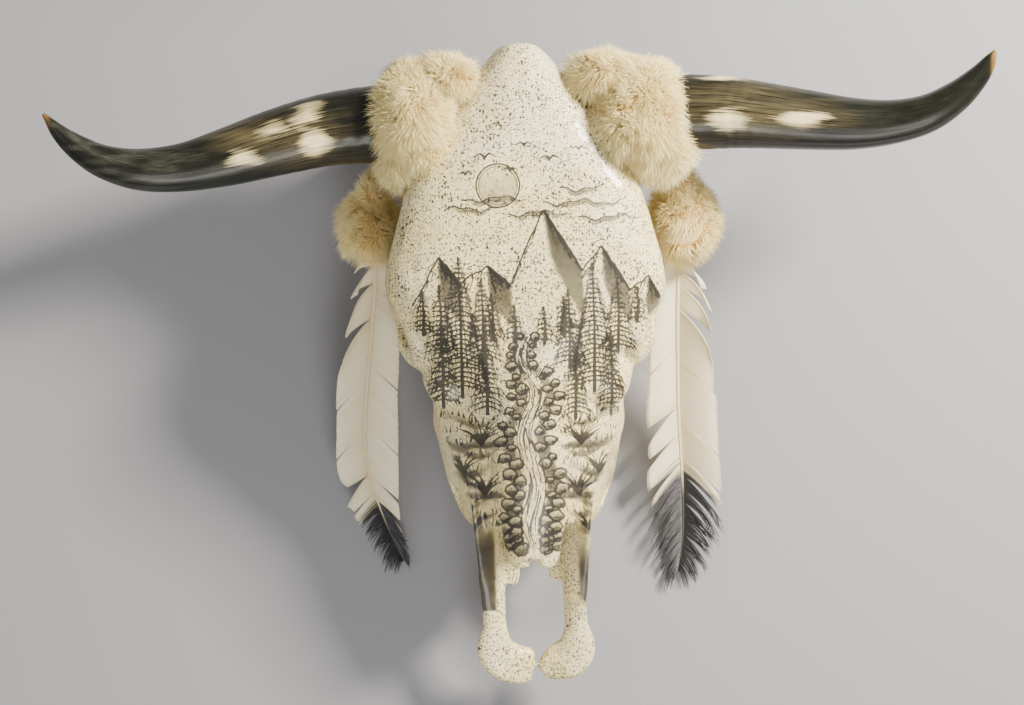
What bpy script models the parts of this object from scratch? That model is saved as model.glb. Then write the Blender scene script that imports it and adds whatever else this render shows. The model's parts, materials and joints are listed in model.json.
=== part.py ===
"""A painted cow skull with its horns, fur wraps and two hanging feathers, at real size.

It lies face up, as it rests on a table: on the last molars and on the two processes beside the
foramen magnum, with the feather tips on the table. Metres. +Y runs from the nose to the poll, +Z is
up, and +X is the animal's left. The origin is on the table, under the middle of the whole.
"""

import math

import bmesh
import bpy
import numpy as np
from mathutils import Matrix, Vector

SIDES = {"left": 1, "right": -1}
GAP = 0.0003  # between pieces that touch
FLOOR = 0.0

# Sizes of the skull, from nose tip to poll and across the eye sockets.
VOXEL = 0.0027
BONE_TRIANGLES = 5300

# Stations along Y of the closed forms that make up the bone. Each row holds
# y, half width, top, height of the widest point, bottom, squareness above, squareness below.
FOREHEAD = (
    (0.2655, 0.0060, 0.1620, 0.157, 0.150, 2.0, 2.0),
    (0.2620, 0.0170, 0.1700, 0.154, 0.136, 2.0, 2.0),
    (0.2500, 0.0280, 0.1780, 0.152, 0.118, 2.0, 2.0),
    (0.2340, 0.0395, 0.1845, 0.153, 0.105, 2.1, 2.0),
    (0.2180, 0.0515, 0.1880, 0.155, 0.105, 2.2, 2.0),
    (0.1950, 0.0670, 0.1905, 0.158, 0.110, 2.3, 2.0),
    (0.1700, 0.0825, 0.1920, 0.160, 0.120, 2.4, 2.2),
    (0.1500, 0.0935, 0.1925, 0.160, 0.126, 2.5, 2.4),
    (0.1350, 0.0995, 0.1925, 0.160, 0.130, 2.5, 2.4),
    (0.1050, 0.1075, 0.1910, 0.157, 0.128, 2.5, 2.4),
    (0.0850, 0.1125, 0.1895, 0.154, 0.126, 2.5, 2.4),
    (0.0700, 0.1145, 0.1880, 0.151, 0.124, 2.5, 2.4),
    (0.0550, 0.1120, 0.1860, 0.148, 0.120, 2.4, 2.3),
    (0.0400, 0.1040, 0.1835, 0.144, 0.114, 2.4, 2.2),
    (0.0200, 0.0880, 0.1790, 0.138, 0.106, 2.3, 2.2),
    (0.0000, 0.0720, 0.1735, 0.130, 0.100, 2.2, 2.2),
    (-0.0300, 0.0540, 0.1640, 0.122, 0.095, 2.1, 2.0),
    (-0.0600, 0.0380, 0.1540, 0.115, 0.090, 2.0, 2.0),
)
MUZZLE = (
    (0.0550, 0.0500, 0.1650, 0.092, 0.046, 2.0, 2.6),
    (0.0250, 0.0700, 0.1700, 0.090, 0.036, 2.0, 3.0),
    (0.0000, 0.0790, 0.1680, 0.086, 0.026, 2.0, 3.6),
    (-0.0250, 0.0800, 0.1620, 0.080, 0.024, 1.9, 3.8),
    (-0.0550, 0.0775, 0.1530, 0.072, 0.026, 1.8, 3.8),
    (-0.0850, 0.0715, 0.1440, 0.064, 0.029, 1.7, 3.6),
    (-0.1080, 0.0645, 0.1360, 0.059, 0.034, 1.6, 3.2),
    (-0.1220, 0.0590, 0.1310, 0.060, 0.040, 1.6, 2.8),
    (-0.1310, 0.0520, 0.1280, 0.064, 0.047, 1.6, 2.4),
)
NASAL_ROOF = (
    (0.0250, 0.0100, 0.1790, 0.168, 0.150, 2.0, 2.0),
    (0.0000, 0.0230, 0.1752, 0.160, 0.140, 2.0, 2.0),
    (-0.0300, 0.0300, 0.1675, 0.150, 0.128, 2.0, 2.0),
    (-0.0700, 0.0315, 0.1565, 0.139, 0.122, 2.0, 2.0),
    (-0.1050, 0.0300, 0.1465, 0.131, 0.119, 2.0, 2.2),
    (-0.1300, 0.0265, 0.1390, 0.125, 0.116, 2.0, 2.4),
    (-0.1450, 0.0240, 0.1342, 0.122, 0.114, 2.0, 2.8),
    (-0.1580, 0.0212, 0.1300, 0.120, 0.1125, 2.0, 2.8),
)
BRAINCASE = (
    (0.0550, 0.0300, 0.150, 0.110, 0.070, 2.0, 2.0),
    (0.0900, 0.0450, 0.160, 0.110, 0.058, 2.0, 2.0),
    (0.1300, 0.0540, 0.165, 0.108, 0.050, 2.0, 2.0),
    (0.1750, 0.0600, 0.165, 0.104, 0.046, 2.2, 2.2),
    (0.2100, 0.0720, 0.160, 0.104, 0.046, 2.4, 2.4),
    (0.2300, 0.0700, 0.150, 0.104, 0.050, 2.4, 2.4),
    (0.2420, 0.0520, 0.138, 0.100, 0.056, 2.2, 2.2),
)
SKULL_BASE = (
    (0.2420, 0.0180, 0.072, 0.060, 0.044, 2.0, 2.0),
    (0.2100, 0.0240, 0.075, 0.058, 0.042, 2.0, 2.2),
    (0.1700, 0.0200, 0.075, 0.056, 0.040, 2.0, 2.2),
    (0.1200, 0.0150, 0.075, 0.058, 0.043, 2.0, 2.0),
    (0.0600, 0.0140, 0.080, 0.064, 0.050, 2.0, 2.0),
)
PALATE = (
    (-0.0900, 0.0400, 0.060, 0.050, 0.038, 3.0, 3.0),
    (-0.1250, 0.0370, 0.062, 0.055, 0.044, 3.0, 3.0),
    (-0.1500, 0.0300, 0.062, 0.057, 0.050, 3.0, 3.0),
    (-0.1680, 0.0220, 0.062, 0.058, 0.053, 3.0, 3.0),
)
NASAL_CAVITY = (
    (-0.2100, 0.0330, 0.150, 0.096, 0.0640, 3.0, 3.0),
    (-0.1500, 0.0290, 0.117, 0.092, 0.0640, 3.0, 3.0),
    (-0.1200, 0.0270, 0.116, 0.090, 0.0640, 3.0, 3.0),
    (-0.0800, 0.0250, 0.118, 0.090, 0.0640, 2.6, 2.6),
    (-0.0450, 0.0180, 0.112, 0.090, 0.0700, 2.2, 2.2),
)
PALATE_VAULT = (
    (-0.1600, 0.0180, 0.046, 0.030, -0.02, 2.0, 2.0),
    (-0.1000, 0.0270, 0.044, 0.022, -0.02, 2.2, 2.0),
    (-0.0400, 0.0330, 0.044, 0.018, -0.02, 2.4, 2.0),
    (0.0300, 0.0340, 0.046, 0.018, -0.02, 2.4, 2.0),
    (0.0700, 0.0200, 0.050, 0.020, -0.02, 2.0, 2.0),
)

# Swept forms of one side. Each row holds x, y, z, half width, half thickness and the roll of the
# section in degrees, which lifts its outer edge.
INCISIVE = {
    "left": (
        (0.0470, -0.080, 0.1120, 0.0060, 0.0045, 60),
        (0.0440, -0.105, 0.1020, 0.0130, 0.0050, 60),
        (0.0395, -0.130, 0.0880, 0.0165, 0.0052, 55),
        (0.0365, -0.155, 0.0770, 0.0155, 0.0052, 45),
        (0.0350, -0.180, 0.0690, 0.0128, 0.0050, 32),
        (0.0345, -0.205, 0.0620, 0.0112, 0.0052, 20),
        (0.0350, -0.219, 0.0575, 0.0118, 0.0058, 12),
        (0.0356, -0.231, 0.0540, 0.0150, 0.0062, 8),
        (0.0330, -0.2405, 0.0515, 0.0175, 0.0064, 5),
        (0.0262, -0.2475, 0.0490, 0.0182, 0.0064, 3),
        (0.0182, -0.2512, 0.0470, 0.0165, 0.0060, 0),
        (0.0112, -0.2550, 0.0455, 0.0128, 0.0052, 0),
        (0.0045, -0.2590, 0.0445, 0.0072, 0.0040, 0),
    ),
    "right": (
        (0.0470, -0.080, 0.1120, 0.0060, 0.0045, 60),
        (0.0440, -0.105, 0.1020, 0.0130, 0.0050, 60),
        (0.0395, -0.130, 0.0880, 0.0165, 0.0052, 55),
        (0.0365, -0.155, 0.0770, 0.0155, 0.0052, 45),
        (0.0350, -0.180, 0.0690, 0.0125, 0.0050, 32),
        (0.0342, -0.205, 0.0620, 0.0108, 0.0052, 20),
        (0.0342, -0.219, 0.0575, 0.0115, 0.0058, 12),
        (0.0350, -0.231, 0.0540, 0.0150, 0.0062, 8),
        (0.0325, -0.2405, 0.0515, 0.0175, 0.0064, 5),
        (0.0260, -0.2475, 0.0490, 0.0180, 0.0064, 3),
        (0.0180, -0.2510, 0.0470, 0.0172, 0.0062, 0),
        (0.0095, -0.2520, 0.0455, 0.0165, 0.0056, 0),
        (0.0022, -0.2530, 0.0445, 0.0150, 0.0048, 0),
    ),
}
NASAL_TIPS = {
    "left": ((0.0110, -0.140, 0.1290, 0.0120, 0.0046, -14), (0.0112, -0.157, 0.1238, 0.0096, 0.0044, -12),
             (0.0078, -0.165, 0.1212, 0.0062, 0.0040, -8), (0.0066, -0.1695, 0.1200, 0.0036, 0.0034, -8)),
    "right": ((0.0110, -0.140, 0.1290, 0.0120, 0.0046, -14), (0.0115, -0.157, 0.1235, 0.0100, 0.0044, -10),
              (0.0075, -0.167, 0.1205, 0.0066, 0.0040, -6), (0.0050, -0.1775, 0.1170, 0.0038, 0.0034, -6)),
}
PALATINE_FLAP = {
    "left": ((0.0330, -0.150, 0.0620, 0.0120, 0.0032, 0), (0.0270, -0.164, 0.0615, 0.0125, 0.0032, 0),
             (0.0185, -0.172, 0.0605, 0.0090, 0.0030, 0), (0.0125, -0.1735, 0.0600, 0.0056, 0.0030, 0)),
    "right": ((0.0330, -0.150, 0.0620, 0.0120, 0.0032, 0), (0.0265, -0.166, 0.0615, 0.0130, 0.0032, 0),
              (0.0180, -0.174, 0.0605, 0.0100, 0.0030, 0), (0.0115, -0.1755, 0.0600, 0.0070, 0.0030, 0)),
}
ARCH = (
    (0.1000, 0.020, 0.0950, 0.0110, 0.0070, 90),
    (0.1030, 0.045, 0.0890, 0.0100, 0.0060, 90),
    (0.1040, 0.075, 0.0860, 0.0100, 0.0052, 90),
    (0.1010, 0.100, 0.0860, 0.0098, 0.0050, 90),
    (0.0920, 0.125, 0.0890, 0.0095, 0.0055, 80),
    (0.0760, 0.142, 0.0935, 0.0130, 0.0070, 40),
    (0.0560, 0.150, 0.0960, 0.0160, 0.0090, 10),
)
PARACONDYLAR = (
    (0.0480, 0.2220, 0.0800, 0.0130, 0.0080, 0),
    (0.0520, 0.2200, 0.0520, 0.0125, 0.0075, 0),
    (0.0545, 0.2160, 0.0250, 0.0100, 0.0060, 0),
    (0.0555, 0.2120, -0.0030, 0.0070, 0.0050, 0),
)
PTERYGOID = (
    (0.0330, 0.000, 0.0600, 0.0180, 0.0045, 90),
    (0.0280, 0.030, 0.0560, 0.0260, 0.0035, 90),
    (0.0235, 0.060, 0.0580, 0.0260, 0.0030, 90),
    (0.0200, 0.090, 0.0660, 0.0180, 0.0030, 90),
    (0.0180, 0.110, 0.0700, 0.0080, 0.0030, 90),
)
HORN_CORE = (
    (0.0450, 0.178, 0.1500, 0.0330, 0.0300, 0),
    (0.0720, 0.190, 0.1490, 0.0320, 0.0300, 0),
    (0.0920, 0.198, 0.1485, 0.0300, 0.0290, 0),
    (0.1140, 0.203, 0.1485, 0.0290, 0.0290, 0),
)
CORE_END = 0.1055  # where a horn core stops and its sheath goes on

# Ellipsoids of one side: centre and radii.
ORBIT_CENTRE = (0.0965, 0.0400, 0.1225)
ORBIT_AXIS = (0.95, -0.30, 0.10)
ORBIT_RIM_RADIUS = 0.0325
ORBIT_RIM_THICKNESS = 0.0085
ORBIT_MOUTH = (0.0250, 0.0250, 0.0400)
CHEEKBONE = ((0.0825, 0.031, 0.0945), (0.0255, 0.0320, 0.0240))
LACRIMAL = ((0.0640, 0.000, 0.1290), (0.0230, 0.0340, 0.0220))
CONDYLE = ((0.0230, 0.2380, 0.0720), (0.0150, 0.0135, 0.0200))
BULLA = ((0.0390, 0.1780, 0.0570), (0.0115, 0.0200, 0.0170))
FACIAL_TUBER = ((0.0690, -0.040, 0.0720), (0.0115, 0.0260, 0.0120))
PALATINE_NOTCH = ((0.0, -0.1740, 0.0560), (0.0115, 0.0300, 0.0300))
FORAMEN_MAGNUM = ((0.0, 0.2500, 0.0860), (0.0190, 0.0600, 0.0170))
INFRAORBITAL = ((0.0600, -0.104, 0.0700), (0.0100, 0.0130, 0.0060))
TEMPORAL_HOLLOW = ((0.1020, 0.1250, 0.1140), (0.0400, 0.0440, 0.0270))
SUPRAORBITAL_GROOVE = ((0.0560, 0.0850, 0.1965), (0.0045, 0.0400, 0.0090))

# Cheek teeth of one side, front to back: length along the row, width, lobes.
TEETH = ((0.016, 0.014, 1), (0.018, 0.017, 1), (0.018, 0.019, 1),
         (0.025, 0.021, 2), (0.028, 0.023, 2), (0.030, 0.023, 2))
TOOTH_ROW_FRONT = (0.0420, -0.120)
TOOTH_ROW_BACK = (0.0555, 0.018)
TOOTH_ROOT_Z = 0.036
TOOTH_GAP = 0.0005
BITE_RISE = math.tan(math.radians(5.5))  # the row lifts off the table towards the nose

# What each bone takes of the skull. The slab of the nasal bones is given as y, half width and
# bottom; the boxes are given for the left side, as two corners.
NASAL_REGION = (
    (0.0180, 0.0020, 0.150), (0.0000, 0.0150, 0.145), (-0.0400, 0.0215, 0.135),
    (-0.1000, 0.0250, 0.1205), (-0.1450, 0.0265, 0.106), (-0.2000, 0.0265, 0.106),
)
ZYGOMATIC_REGION = ((0.0800, -0.010, 0.050), (0.1400, 0.100, 0.1180))
INCISIVE_REGION = ((GAP / 2, -0.300, 0.000), (0.1000, -0.128, 0.1500))
MAXILLA_FRONT = -0.128 + GAP
MAXILLA_BACK = (-0.060, 0.045)  # y of the leaning plane at z = 0.25 and at z = -0.05

# Horn sheaths, root to tip: x outwards, y, z, radius.
HORNS = {
    "left": (
        (0.0880, 0.2000, 0.1485, 0.0312), (0.1100, 0.2055, 0.1485, 0.0312),
        (0.1600, 0.2050, 0.1510, 0.0302), (0.1900, 0.2020, 0.1540, 0.0278),
        (0.2300, 0.1965, 0.1585, 0.0247), (0.2690, 0.1915, 0.1645, 0.0213),
        (0.3010, 0.1915, 0.1710, 0.0181), (0.3290, 0.1970, 0.1790, 0.0156),
        (0.3520, 0.2095, 0.1870, 0.0126), (0.3690, 0.2245, 0.1940, 0.0088),
        (0.3775, 0.2360, 0.1990, 0.0052), (0.3820, 0.2440, 0.2020, 0.0014),
    ),
    "right": (
        (0.0880, 0.2020, 0.1485, 0.0318), (0.1150, 0.2035, 0.1490, 0.0318),
        (0.1570, 0.2000, 0.1530, 0.0298), (0.1970, 0.1912, 0.1580, 0.0275),
        (0.2380, 0.1800, 0.1640, 0.0239), (0.2740, 0.1720, 0.1700, 0.0199),
        (0.3080, 0.1705, 0.1770, 0.0171), (0.3360, 0.1768, 0.1840, 0.0137),
        (0.3560, 0.1880, 0.1900, 0.0104), (0.3710, 0.2010, 0.1960, 0.0064),
        (0.3830, 0.2160, 0.2000, 0.0014),
    ),
}

# Fur wraps round the horn roots: centre, radii of the stuffed core, lock length.
HORN_DEPTH = 0.94
# Each fur is made of stuffed balls: centre, radii, number of locks and their length.
WRAPS = {
    "left": (((0.0980, 0.2040, 0.1590), (0.0340, 0.0410, 0.0400), 32, 0.027),
             ((0.0680, 0.2370, 0.1640), (0.0210, 0.0150, 0.0220), 7, 0.016),
             ((0.1140, 0.1800, 0.1500), (0.0200, 0.0210, 0.0280), 4, 0.020)),
    "right": (((0.0860, 0.2070, 0.1590), (0.0285, 0.0410, 0.0400), 30, 0.027),
              ((0.0600, 0.2370, 0.1640), (0.0210, 0.0150, 0.0220), 7, 0.016),
              ((0.0930, 0.1740, 0.1500), (0.0180, 0.0170, 0.0260), 4, 0.020)),
}
PUFFS = {
    "left": (((0.1345, 0.1200, 0.0840), (0.0235, 0.0270, 0.0200), 15, 0.021),
             ((0.1325, 0.1500, 0.0960), (0.0090, 0.0120, 0.0090), 2, 0.014)),
    "right": (((0.1280, 0.1240, 0.0840), (0.0190, 0.0240, 0.0180), 14, 0.021),
              ((0.1240, 0.1500, 0.0960), (0.0080, 0.0100, 0.0080), 2, 0.014)),
}
LOCK_WIDTH = 0.43  # half width of a lock for each unit of its length
LOCK_THICKNESS = 0.19
CLEAR = 0.0004  # how far a neighbour is grown before it cuts fur
LOCK_STATIONS = ((0.0, 0.9), (0.58, 1.0), (1.0, 0.2))  # share of length, of width
THONGS = {
    "left": ((0.1180, 0.172, 0.1300, 0.0026, 0.0016, 0), (0.1240, 0.158, 0.1120, 0.0026, 0.0016, 0),
             (0.1300, 0.140, 0.0940, 0.0024, 0.0015, 0)),
    "right": ((0.1100, 0.172, 0.1300, 0.0026, 0.0016, 0), (0.1160, 0.158, 0.1120, 0.0026, 0.0016, 0),
              (0.1220, 0.140, 0.0940, 0.0024, 0.0015, 0)),
}

# Feathers, quill root to tip: x outwards, y, z, width towards the skull, width away from it.
FEATHERS = {
    "left": (
        (0.1305, 0.100, 0.0700, 0.006, 0.012),
        (0.1295, 0.078, 0.0640, 0.020, 0.029),
        (0.1280, 0.040, 0.0550, 0.024, 0.031),
        (0.1275, 0.000, 0.0450, 0.026, 0.032),
        (0.1275, -0.040, 0.0350, 0.028, 0.033),
        (0.1290, -0.080, 0.0250, 0.029, 0.033),
        (0.1300, -0.110, 0.0175, 0.030, 0.031),
        (0.1300, -0.138, 0.0100, 0.024, 0.025),
        (0.1280, -0.160, 0.0048, 0.018, 0.016),
        (0.1240, -0.180, 0.0019, 0.004, 0.004),
    ),
    "right": (
        (0.1240, 0.106, 0.0720, 0.006, 0.010),
        (0.1255, 0.080, 0.0650, 0.018, 0.026),
        (0.1300, 0.040, 0.0550, 0.022, 0.028),
        (0.1345, 0.005, 0.0460, 0.024, 0.027),
        (0.1385, -0.030, 0.0360, 0.027, 0.025),
        (0.1405, -0.060, 0.0275, 0.028, 0.024),
        (0.1370, -0.090, 0.0195, 0.024, 0.020),
        (0.1290, -0.118, 0.0120, 0.018, 0.016),
        (0.1190, -0.145, 0.0055, 0.013, 0.012),
        (0.1100, -0.164, 0.0019, 0.004, 0.004),
    ),
}
BARB_GROUPS = 12
TIP_GROUPS = 8
BARB_SLANT = 0.75  # how far a barb runs towards the tip for each unit that it runs outwards
VANE_STATIONS = (0.015, 0.14, 0.55, 1.0)
VANE_CAMBER = 0.0022
SPLIT_WIDTH = 0.0045
FEATHER_SEEDS = {"left": 5, "right": 8}
VANE_THICKNESS = 0.0009
QUILL_RADIUS = 0.0022

COLOURS = {
    "bone": ((0.80, 0.77, 0.68), 0.55),
    "tooth": ((0.70, 0.62, 0.45), 0.40),
    "horn": ((0.09, 0.09, 0.08), 0.30),
    "fur": ((0.86, 0.74, 0.52), 0.90),
    "hide": ((0.50, 0.33, 0.18), 0.80),
    "feather": ((0.82, 0.80, 0.74), 0.75),
}


def material(name):
    """One Principled material for each kind of surface."""
    made = bpy.data.materials.get(name)
    if made is None:
        made = bpy.data.materials.new(name)
        made.use_nodes = True
        colour, roughness = COLOURS[name]
        shader = made.node_tree.nodes["Principled BSDF"]
        shader.inputs["Base Color"].default_value = (*colour, 1.0)
        shader.inputs["Roughness"].default_value = roughness
        shader.inputs["Metallic"].default_value = 0.0
    return made


def smooth_rows(rows, count):
    """A station table resampled to count rows, on a Catmull-Rom curve through its rows."""
    rows = np.array(rows, float)
    steps = np.linspace(0, len(rows) - 1, count)
    first = np.clip(steps.astype(int), 0, len(rows) - 2)
    part = (steps - first)[:, None]
    padded = np.vstack([2 * rows[0] - rows[1], rows, 2 * rows[-1] - rows[-2]])
    a, b, c, d = (padded[first + k] for k in range(4))
    return b + 0.5 * part * (c - a + part * (2 * a - 5 * b + 4 * c - d + part * (3 * (b - c) + d - a)))


def signed_power(value, power):
    return np.sign(value) * np.abs(value) ** power


def section_rings(rows, count, sides=28):
    """Rings across Y whose upper and lower halves are superellipses of their own squareness."""
    angle = np.linspace(0, 2 * math.pi, sides, endpoint=False)
    rings = []
    for y, half_width, top, side, bottom, crown, belly in smooth_rows(rows, count):
        power = np.where(np.sin(angle) >= 0, 2 / crown, 2 / belly)
        height = np.where(np.sin(angle) >= 0, top - side, side - bottom)
        x = half_width * signed_power(np.cos(angle), power)
        z = side + height * signed_power(np.sin(angle), power)
        rings.append(np.stack([x, np.full(sides, y), z], 1))
    return rings


def sweep_rings(rows, count, sign, sides=12):
    """Rings along a path, each an ellipse square to it that is rolled about it."""
    rows = smooth_rows(rows, count)
    path = rows[:, :3] * (sign, 1, 1)
    ahead = np.gradient(path, axis=0)
    angle = np.linspace(0, 2 * math.pi, sides, endpoint=False)
    rings = []
    before = None
    for centre, forward, (wide, thick, roll) in zip(path, ahead, rows[:, 3:]):
        forward = Vector(forward).normalized()
        up = Vector((0, 0, 1)) if abs(forward.z) < 0.8 else Vector((0, 1, 0))
        up = (up - forward * forward.dot(up)).normalized()
        across = forward.cross(up)
        lean = across.dot(before) if before else (across.x * sign if abs(across.x) > 0.3 else across.y)
        if lean < 0:
            across.negate()
        before = across.copy()
        turn = math.radians(roll)
        across, up = across * math.cos(turn) + up * math.sin(turn), up * math.cos(turn) - across * math.sin(turn)
        rings.append(np.array(centre) + np.outer(np.cos(angle) * wide, across)
                     + np.outer(np.sin(angle) * thick, up))
    return rings


def add_skin(build, rings):
    """A closed skin over equal rings, with a cap on each end."""
    loops = [[build.verts.new(point) for point in ring] for ring in rings]
    faces = [build.faces.new(loops[0][::-1]), build.faces.new(loops[-1])]
    for one, two in zip(loops, loops[1:]):
        for i in range(len(one)):
            j = (i + 1) % len(one)
            faces.append(build.faces.new((one[i], one[j], two[j], two[i])))
    bmesh.ops.recalc_face_normals(build, faces=faces)


def add_ellipsoid(build, centre, radii, sign=1, turn=None, segments=20):
    """A stretched sphere, turned before it is placed."""
    centre = Vector((centre[0] * sign, centre[1], centre[2]))
    place = Matrix.Translation(centre) @ (turn or Matrix.Identity(4)) @ Matrix.Diagonal((*radii, 1))
    bmesh.ops.create_uvsphere(build, u_segments=segments, v_segments=segments // 2, radius=1, matrix=place)


def new_object(name, build, slot, collection):
    """Ends a bmesh as an object of that name."""
    mesh = bpy.data.meshes.new(name)
    build.to_mesh(mesh)
    build.free()
    made = bpy.data.objects.new(name, mesh)
    mesh.materials.append(material(slot))
    collection.objects.link(made)
    return made


def apply_modifiers(target):
    """Replaces the object's mesh by what its modifiers make of it."""
    graph = bpy.context.evaluated_depsgraph_get()
    mesh = bpy.data.meshes.new_from_object(target.evaluated_get(graph))
    old = target.data
    target.modifiers.clear()
    target.data = mesh
    bpy.data.meshes.remove(old)


def remesh(target, voxel, rounds):
    """Fuses the object's shells into one skin, and softens its creases."""
    fuse = target.modifiers.new("fuse", "REMESH")
    fuse.mode = "VOXEL"
    fuse.voxel_size = voxel
    soften = target.modifiers.new("soften", "SMOOTH")
    soften.factor = 0.5
    soften.iterations = rounds
    apply_modifiers(target)


def boolean(target, other, operation, solver="MANIFOLD"):
    """Cuts or joins another closed object, which is then removed."""
    step = target.modifiers.new("step", "BOOLEAN")
    step.object = other
    step.operation = operation
    step.solver = solver
    apply_modifiers(target)
    mesh = other.data
    bpy.data.objects.remove(other)
    bpy.data.meshes.remove(mesh)


def copy_of(source, name):
    made = source.copy()
    made.data = source.data.copy()
    made.name = name
    source.users_collection[0].objects.link(made)
    return made


def keep_largest(target):
    """Keeps only the largest closed surface of the object."""
    build = bmesh.new()
    build.from_mesh(target.data)
    left = set(build.verts)
    shells = []
    while left:
        stack = [left.pop()]
        shell = set(stack)
        while stack:
            for edge in stack.pop().link_edges:
                for vert in edge.verts:
                    if vert not in shell:
                        shell.add(vert)
                        stack.append(vert)
        left -= shell
        shells.append(shell)
    shells.sort(key=len)
    for shell in shells[:-1]:
        bmesh.ops.delete(build, geom=list(shell), context="VERTS")
    build.to_mesh(target.data)
    build.free()


def orbit_frame(sign):
    """The turn that takes +Z to the way the eye socket looks."""
    axis = Vector((ORBIT_AXIS[0] * sign, ORBIT_AXIS[1], ORBIT_AXIS[2]))
    return axis.to_track_quat("Z", "Y").to_matrix().to_4x4()


def add_orbit_rim(build, sign, steps=36, sides=10):
    """The raised ring round an eye socket."""
    centre = Vector((ORBIT_CENTRE[0] * sign, *ORBIT_CENTRE[1:]))
    place = Matrix.Translation(centre) @ orbit_frame(sign)
    verts = []
    for i in range(steps):
        around = 2 * math.pi * i / steps
        ring = []
        for j in range(sides):
            tilt = 2 * math.pi * j / sides
            reach = ORBIT_RIM_RADIUS + ORBIT_RIM_THICKNESS * math.cos(tilt)
            point = Vector((reach * math.cos(around), reach * math.sin(around),
                            ORBIT_RIM_THICKNESS * math.sin(tilt)))
            ring.append(build.verts.new(place @ point))
        verts.append(ring)
    faces = []
    for i in range(steps):
        for j in range(sides):
            corners = (verts[i][j], verts[(i + 1) % steps][j],
                       verts[(i + 1) % steps][(j + 1) % sides], verts[i][(j + 1) % sides])
            faces.append(build.faces.new(corners))
    bmesh.ops.recalc_face_normals(build, faces=faces)


def cutter(name, collection, fill):
    """A helper solid that a Boolean takes away. fill adds its shells to a bmesh."""
    build = bmesh.new()
    fill(build)
    made = new_object(name, build, "bone", collection)
    made.hide_render = True
    made.display_type = "WIRE"
    return made


def whole_skull(parts, tools):
    """All the bone as one skin: forms fused, hollows cut, softened, then made of fewer triangles."""
    build = bmesh.new()
    for table, count in ((FOREHEAD, 40), (MUZZLE, 30), (NASAL_ROOF, 24), (BRAINCASE, 24),
                         (SKULL_BASE, 16), (PALATE, 14)):
        add_skin(build, section_rings(table, count))
    for side, sign in SIDES.items():
        for table, count in ((NASAL_TIPS[side], 14), (PALATINE_FLAP[side], 14), (INCISIVE[side], 40),
                             (ARCH, 24), (PARACONDYLAR, 14), (PTERYGOID, 16), (HORN_CORE, 12)):
            add_skin(build, sweep_rings(table, count, sign))
        for centre, radii in (CHEEKBONE, LACRIMAL, CONDYLE, BULLA, FACIAL_TUBER):
            add_ellipsoid(build, centre, radii, sign)
        add_orbit_rim(build, sign)
    skull = new_object("cranium", build, "bone", parts)
    remesh(skull, VOXEL, 3)

    hollows = [
        lambda b: add_skin(b, section_rings(NASAL_CAVITY, 20)),
        lambda b: add_skin(b, section_rings(PALATE_VAULT, 20)),
        lambda b: add_ellipsoid(b, *FORAMEN_MAGNUM),
        lambda b: add_ellipsoid(b, *PALATINE_NOTCH),
    ]
    for sign in SIDES.values():
        centre = Vector(ORBIT_CENTRE) - Vector(ORBIT_AXIS) * 0.006
        hollows += [
            lambda b, s=sign, c=centre: add_ellipsoid(b, c, ORBIT_MOUTH, s, orbit_frame(s)),
            lambda b, s=sign: add_ellipsoid(b, *TEMPORAL_HOLLOW, s),
            lambda b, s=sign: add_ellipsoid(b, *INFRAORBITAL, s),
            lambda b, s=sign: add_ellipsoid(b, *SUPRAORBITAL_GROOVE, s),
        ]
    for fill in hollows:
        boolean(skull, cutter("hollow", tools, fill), "DIFFERENCE")
    remesh(skull, VOXEL, 2)

    thin = skull.modifiers.new("thin", "DECIMATE")
    thin.ratio = BONE_TRIANGLES / (2 * len(skull.data.polygons))
    thin.use_collapse_triangulate = True
    apply_modifiers(skull)
    keep_largest(skull)
    return skull


def add_box(build, low, high):
    """A box between two corners."""
    low, high = Vector(low), Vector(high)
    place = Matrix.Translation((low + high) / 2) @ Matrix.Diagonal((*(high - low), 1))
    bmesh.ops.create_cube(build, size=1, matrix=place)


def add_side_box(build, sign, low, high, grow=0.0):
    """A box given for the left side, grown on every face, on the side of that sign."""
    low = [value - grow for value in low]
    high = [value + grow for value in high]
    if sign < 0:
        low[0], high[0] = -high[0], -low[0]
    add_box(build, low, high)


def nasal_region(build, grow):
    """What the two nasal bones take: a slab under the roof of the nose, pointed at its back."""
    rings = []
    for y, half, bottom in NASAL_REGION:
        half, bottom = half + grow, bottom - grow
        if y == NASAL_REGION[0][0]:
            y += grow
        rings.append(np.array([(-half, y, bottom), (half, y, bottom), (half, y, 0.25), (-half, y, 0.25)]))
    add_skin(build, rings)


def maxilla_region(build, sign, grow):
    """What one maxilla takes: all in front of a leaning plane, on its side of the midline."""
    near = GAP / 2 - grow
    back_top, back_low = MAXILLA_BACK
    front = MAXILLA_FRONT - grow
    ring = [(front, -0.05), (back_low + grow, -0.05), (back_top + grow, 0.25), (front, 0.25)]
    rings = [np.array([(x * sign, y, z) for y, z in ring]) for x in (near, 0.2)]
    add_skin(build, rings)


def take_off(skull, name, tools, fill):
    """Parts a bone from the skull. fill(build, grow) adds the region that it takes."""
    bone = copy_of(skull, name)
    boolean(bone, cutter("region", tools, lambda b: fill(b, 0.0)), "INTERSECT")
    keep_largest(bone)
    boolean(skull, cutter("region", tools, lambda b: fill(b, GAP)), "DIFFERENCE")
    keep_largest(skull)
    return bone


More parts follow.
